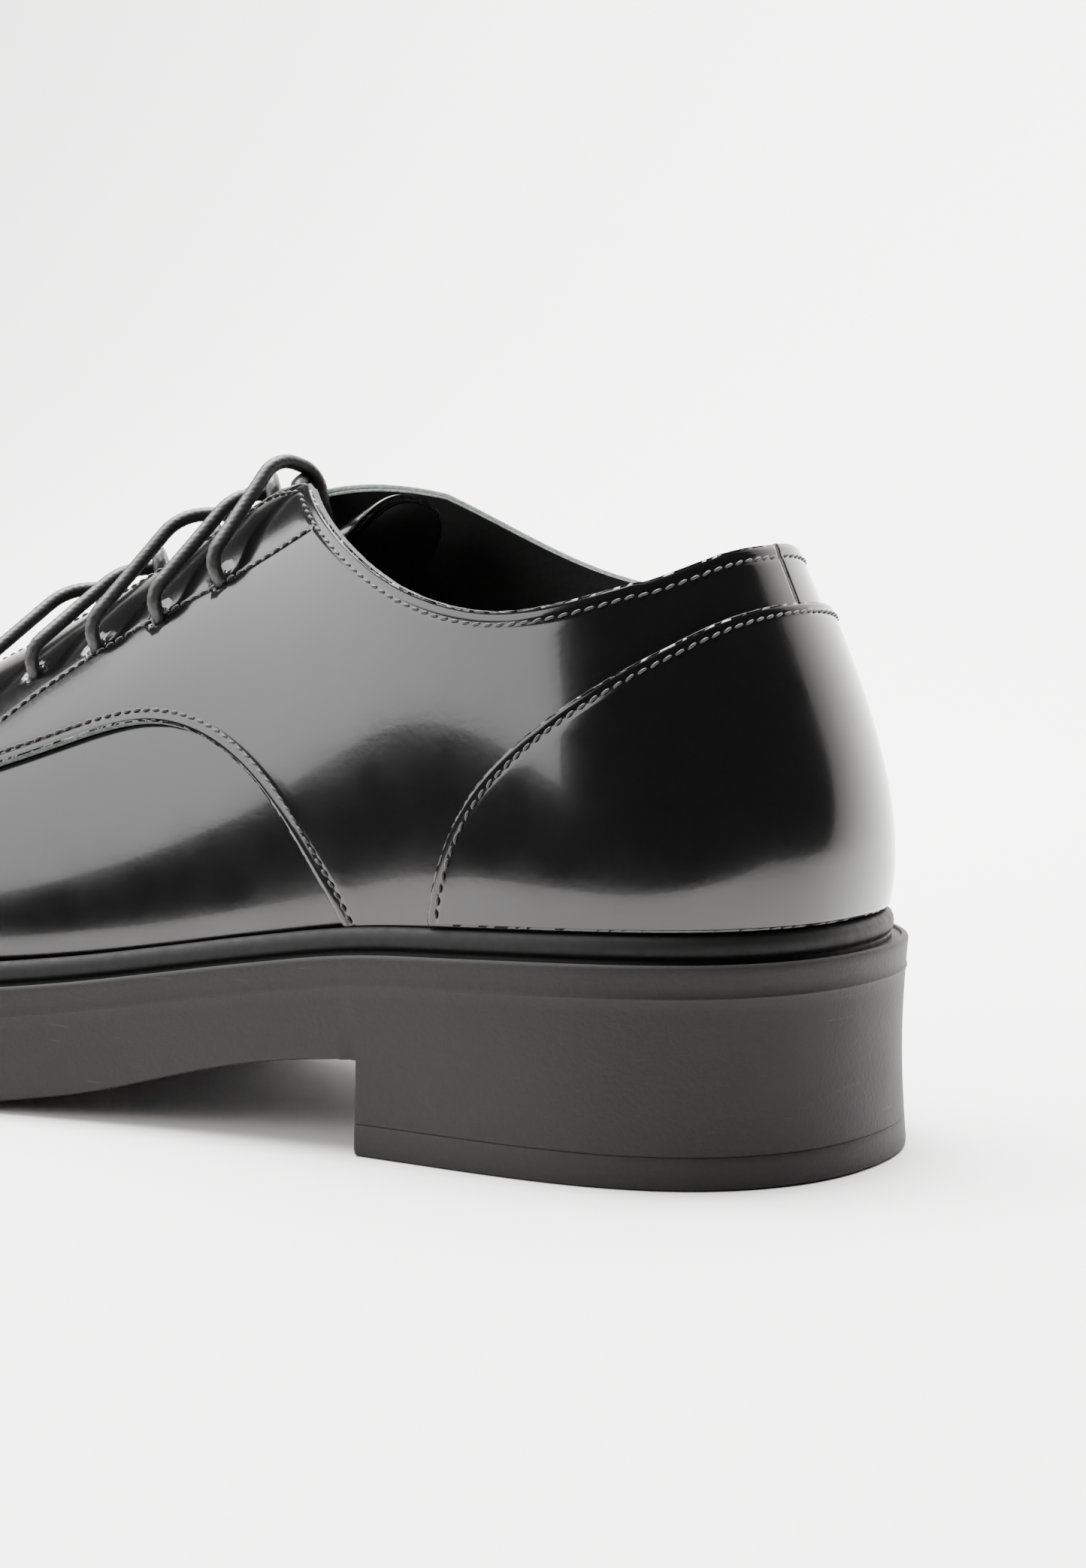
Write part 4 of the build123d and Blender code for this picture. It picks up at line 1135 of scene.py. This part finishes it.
def braided_cord(name, line, radius, material, around=24):
    """Round braid: two sets of strands that wind opposite ways round the cord."""
    ahead = unit(np.gradient(line, axis=0))
    side_step = unit(np.cross(ahead[0], (0.0, 0.0, 1.0)))
    spokes = []
    for direction in ahead:
        side_step = unit(side_step - np.dot(side_step, direction) * direction)
        spokes.append(side_step)
    spokes = np.array(spokes)
    other = np.cross(ahead, spokes)
    at = np.arange(len(line)) * LACE_STEP
    angle = np.linspace(0, 2 * math.pi, around, endpoint=False)
    wind = 2 * math.pi * at[:, None] / BRAID_TURN
    one = np.sin(6 * (angle + wind))
    two = np.sin(6 * (angle - wind))
    swell = radius * (0.93 + 0.07 * np.maximum(one, two))
    points = (line[:, None] + swell[..., None] * (np.cos(angle)[None, :, None] * spokes[:, None]
                                                  + np.sin(angle)[None, :, None] * other[:, None]))
    points, faces = strip(points)
    faces.append(tuple(range(around))[::-1])
    faces.append(tuple((len(line) - 1) * around + j for j in range(around)))
    return make_mesh(name, points, faces, None, (material,))


piece = braided_cord("lace", lace_line, LACE / 2, CORD)
finish_piece(piece, "shoe", "waxed_cord", "lace")


# ---------------------------------------------------------------- sole
def foot_outline(margin, step=1.2):
    """Closed plan outline round the foot of the upper, moved out by a margin."""
    lines = []
    for side in (OUTER, INNER):
        rows = np.linspace(0, LAST_ROW, 400)
        here = on_last(side, rows, 0.0)[:, :2]
        ahead = np.gradient(here, axis=0)
        ahead[0], ahead[-1] = (0.0, side * 1.0), (0.0, -side * 1.0)
        out = unit(np.stack((-side * ahead[:, 1], side * ahead[:, 0]), axis=1))
        line = here + margin * out
        lines.append(line if side == OUTER else line[::-1][1:-1])
    return resample(np.concatenate(lines), step, closed=True)


def sole_bottom(x):
    """Height of the underside: the waist springs up behind the tread, the toe lifts in front."""
    waist = spline(((HEEL_BREAST, WAIST_HEIGHT), (82, 12.9), (98, 9.6), (115, 5.2), (132, 2.2),
                    (150, 0.0)))
    toe = spline(((218, 0.0), (252, 3.0), (305, 13.0)))
    height = np.where(x < 150, np.interp(x, waist[:, 0], waist[:, 1]), 0.0)
    return np.where(x > 218, np.interp(x, toe[:, 0], toe[:, 1]), height)


def outline_frame(line):
    """Unit outward direction of a closed plan outline that runs clockwise or not."""
    ahead = np.roll(line, -1, axis=0) - np.roll(line, 1, axis=0)
    out = unit(np.stack((ahead[:, 1], -ahead[:, 0]), axis=1))
    centre = line.mean(0)
    return out if ((line - centre) * out).sum() > 0 else -out


def cap(line, height, spacing=2.5):
    """Triangulated plan region under a closed outline."""
    low, high = line.min(0), line.max(0)
    grid = np.stack([g.ravel() for g in np.meshgrid(np.arange(low[0], high[0], spacing),
                                                    np.arange(low[1], high[1], spacing))], axis=1)
    grid = grid[inside(grid, [line])]
    far, _ = nearest_of(grid, line)
    grid = grid[far > 0.7 * spacing]
    flat, faces = triangulate([line], [], grid)
    return np.column_stack((flat, height(flat[:, 0]))), faces.tolist()


def joined(name, parts, material):
    """One mesh of several strips and caps that meet, with sharp edges kept sharp."""
    points, faces, start = [], [], 0
    for some_points, some_faces in parts:
        points.append(some_points)
        faces += [tuple(i + start for i in face) for face in some_faces]
        start += len(some_points)
    piece = make_mesh(name, np.concatenate(points), faces, None, (material,))
    mesh = piece.data
    solid = bmesh.new()
    solid.from_mesh(mesh)
    bmesh.ops.remove_doubles(solid, verts=solid.verts, dist=0.00003)
    bmesh.ops.recalc_face_normals(solid, faces=solid.faces)
    solid.to_mesh(mesh)
    solid.free()
    mesh.polygons.foreach_set("use_smooth", np.ones(len(mesh.polygons), bool))
    mesh.set_sharp_from_angle(angle=math.radians(38))
    return piece


edge_line = foot_outline(SOLE_MARGIN)
edge_out = outline_frame(edge_line)
edge_top = hermite(FEATHER, edge_line[:, 0]) - RAND_HEIGHT
behind = edge_line[:, 0] < HEEL_BREAST


def ring(offset, height):
    """Ring of the sole's edge, moved inwards, at a height."""
    plan = edge_line - np.reshape(offset, (-1, 1)) * edge_out
    return np.column_stack((plan, np.broadcast_to(height, len(plan))))


wall_foot = np.where(behind, WAIST_HEIGHT, sole_bottom(edge_line[:, 0]))
hollow = 0.35 + 0.45 * smooth((30 - edge_line[:, 0]) / 30)
away_from_breast = smooth((edge_line[:, 0] - HEEL_BREAST - 0.5) / 2.0)


def waisted(share):
    return hollow * np.sin(math.pi * np.clip(share, 0, 1))


total_height = edge_top - np.where(behind, 0.0, wall_foot)
RIM_PROFILE = ((4.0, -0.4), (1.25, -0.4), (1.0, 0.0), (0.5, 0.05), (0.15, -0.2), (0.0, -0.6))
PARTING_LINE = {1.5: 0.0, 3.0: 0.0, 4.2: 0.0, 4.5: 0.14, 4.7: 0.22, 4.95: 0.14, 5.25: 0.0}
PARTING_END = 5.25
rings = [ring(np.full(len(edge_line), inward), edge_top + up) for inward, up in RIM_PROFILE]
for drop, line_out in PARTING_LINE.items():
    rings.append(ring(waisted(drop / total_height) - line_out, edge_top - drop))
lower = edge_top - PARTING_END
for share in np.linspace(0, 1, 8)[1:-1]:
    height = lower + (wall_foot + 1.0 - lower) * share
    rings.append(ring(waisted((edge_top - height) / total_height), height))
low_wall = waisted((edge_top - wall_foot) / total_height)
rings.append(ring(low_wall, wall_foot + 0.8))
rings.append(ring(low_wall + 0.2 * away_from_breast, wall_foot + 0.25 * away_from_breast))
rings.append(ring(low_wall + 0.8 * away_from_breast, wall_foot))
wall = strip(rings)


def stretch(mask):
    """Indices of the ring's one stretch where mask is true, in order."""
    ids = np.roll(np.arange(len(mask)), -int(np.argmax(mask & ~np.roll(mask, 1))))
    return ids[mask[ids]]


under_front = cap(rings[-1][stretch(~behind)][:, :2], sole_bottom)
heel_ids = stretch(behind)


def breast_path(inward):
    """Plan outline of the heel block with its two front corners rounded."""
    plan = edge_line - np.reshape(inward, (-1, 1)) * edge_out
    plan = plan[heel_ids]
    first, last = plan[0].copy(), plan[-1].copy()
    first[0] = last[0] = HEEL_BREAST - np.max(inward) * 0.3
    across = np.linspace(0, 1, 46)[1:-1, None]
    return np.concatenate((plan[:-1], last + (first - last) * across))


def heel_ring(height, inward=0.0):
    """Closed ring round the heel block at a height."""
    plan = breast_path(waisted((edge_top - height) / edge_top) + inward)
    return np.column_stack((plan, np.full(len(plan), height)))


def level_cap(rings, end):
    """Flat cap over the first or last of a stack of heel rings."""
    height = rings[end][0, 2]
    return cap(rings[end][:, :2], lambda x: np.full(len(x), height))


BLOCK_TOP = WAIST_HEIGHT + 0.6
LIFT_PROFILE = (
    (TOP_LIFT, 0.0), (TOP_LIFT - 0.12, 0.14), (TOP_LIFT - 0.3, 0.0), (3.6, 0.0), (2.2, 0.0), (1.0, 0.0),
    (0.35, 0.12), (0.0, 0.6),
)
block_rings = [heel_ring(BLOCK_TOP + (TOP_LIFT - BLOCK_TOP) * share) for share in np.linspace(0, 1, 12)]
lift_rings = [heel_ring(height, inward) for height, inward in LIFT_PROFILE]
seat = cap(rings[0][:, :2], lambda x: hermite(FEATHER, x) - RAND_HEIGHT - 0.4, 5.0)
piece = joined("outsole", (wall, under_front, strip(block_rings), level_cap(block_rings, -1), seat), SOLE)
finish_piece(piece, "shoe", "sole_rubber", "outsole")
lift_parts = (strip(lift_rings), level_cap(lift_rings, -1), level_cap(lift_rings, 0))
piece = joined("heel_top_lift", lift_parts, SOLE)
finish_piece(piece, "shoe", "sole_rubber", "heel_top_lift")

# ---------------------------------------------------------------- rand
rand_line = foot_outline(0.0)
rand_out = outline_frame(rand_line)
rand_foot = hermite(FEATHER, rand_line[:, 0]) - RAND_HEIGHT
RAND_PROFILE = (
    (0.15, -0.3), (1.6, -0.3), (1.55, 0.15), (1.35, 0.35), (1.4, 0.55), (1.75, 0.8), (1.95, 1.3),
    (2.0, 2.0), (1.9, 2.7), (1.6, 3.3), (1.1, 3.75), (0.6, 3.95), (0.15, 3.9),
)
rand_rings = [np.column_stack((rand_line + out * rand_out, rand_foot + up)) for out, up in RAND_PROFILE]
piece = joined("rand", (strip(rand_rings + rand_rings[:1]),), RAND)
finish_piece(piece, "shoe", "rand_rubber", "rand")

# ---------------------------------------------------------------- studio
SWEEP_COLOUR = (0.87, 0.855, 0.845)
SWEEP_FRONT, SWEEP_WALL, SWEEP_BEND, SWEEP_HEIGHT = 0.21, -1.5, 0.7, 3.0
SWEEP_ENDS = (-1.8, 3.0)
AIM_HEIGHT = 0.05


def studio_white():
    material, tree, shader, where = node_material("studio_white", SWEEP_COLOUR, 0.75)
    cloud = noise(tree, where, 3.0, 2.0)
    tint = tuple(c * 0.985 for c in SWEEP_COLOUR)
    tree.links.new(mix_colour(tree, cloud, tint, SWEEP_COLOUR), shader.inputs["Base Color"])
    return material


def sweep():
    """Pale floor that ends a hand's width in front of the shoe and curves up into a wall behind it."""
    foot = SWEEP_WALL + SWEEP_BEND
    profile = [(SWEEP_FRONT, 0.0), (foot, 0.0)]
    profile += [(foot - SWEEP_BEND * math.sin(a), SWEEP_BEND * (1 - math.cos(a)))
                for a in np.linspace(0, math.pi / 2, 24)[1:]]
    profile.append((SWEEP_WALL, SWEEP_HEIGHT))
    columns = np.linspace(*SWEEP_ENDS, 13)
    points = [(x, y, height) for x in columns for y, height in profile]
    n = len(profile)
    faces = [(i * n + j, i * n + j + 1, (i + 1) * n + j + 1, (i + 1) * n + j)
             for i in range(len(columns) - 1) for j in range(n - 1)]
    mesh = bpy.data.meshes.new("sweep")
    mesh.from_pydata(points, [], faces)
    mesh.materials.append(studio_white())
    mesh.polygons.foreach_set("use_smooth", np.ones(len(faces), bool))
    floor = bpy.data.objects.new("studio_sweep", mesh)
    bpy.context.scene.collection.objects.link(floor)


def softbox(name, place, aim, width, height, power):
    """Area light at a place, turned to its aim."""
    light = bpy.data.lights.new(name, "AREA")
    light.shape = "RECTANGLE"
    light.size, light.size_y = width, height
    light.energy = power
    lamp = bpy.data.objects.new(name, light)
    bpy.context.scene.collection.objects.link(lamp)
    lamp.location = place
    lamp.rotation_mode = "QUATERNION"
    lamp.rotation_quaternion = (Vector(aim) - Vector(place)).to_track_quat("-Z", "Y")


def aimed_box(name, azimuth, elevation, distance, width, height, radiance):
    """Softbox seen from the shoe in a direction; azimuth turns from the outer side to the toe."""
    a, e = math.radians(azimuth), math.radians(elevation)
    place = (distance * math.sin(a) * math.cos(e), distance * math.cos(a) * math.cos(e),
             AIM_HEIGHT + distance * math.sin(e))
    power = radiance * math.pi * width * height
    softbox(name, place, (0.0, 0.0, AIM_HEIGHT), width, height, power)


sweep()
aimed_box("overhead", 110, 74, 1.5, 1.6, 1.5, 17.0)
aimed_box("side_window", 48, 25, 1.4, 2.2, 0.8, 6.6)
softbox("background_wash", (0.3, -0.3, 1.9), (0.6, -1.2, 0.5), 1.8, 0.9, 140.0)

world = bpy.data.worlds.new("studio_world")
world.use_nodes = True
backdrop = world.node_tree.nodes["Background"]
backdrop.inputs["Color"].default_value = (1.0, 0.98, 0.97, 1.0)
backdrop.inputs["Strength"].default_value = 0.12
bpy.context.scene.world = world

# ---------------------------------------------------------------- camera
CAMERA_PLACE = (-186.6, 375.9, 94.0)
CAMERA_VIEW = (0.5424, -0.8352, -0.0905)
CAMERA_LENS = 66.48

camera_data = bpy.data.cameras.new("camera")
camera_data.lens = CAMERA_LENS
camera_data.sensor_width = 36.0
camera_data.clip_start = 0.01
camera_data.clip_end = 10.0
camera = bpy.data.objects.new("camera", camera_data)
camera.location = to_frame([CAMERA_PLACE])[0]
camera.rotation_mode = "QUATERNION"
camera.rotation_quaternion = Vector(CAMERA_VIEW).to_track_quat("-Z", "Y")
bpy.context.scene.collection.objects.link(camera)
bpy.context.scene.camera = camera
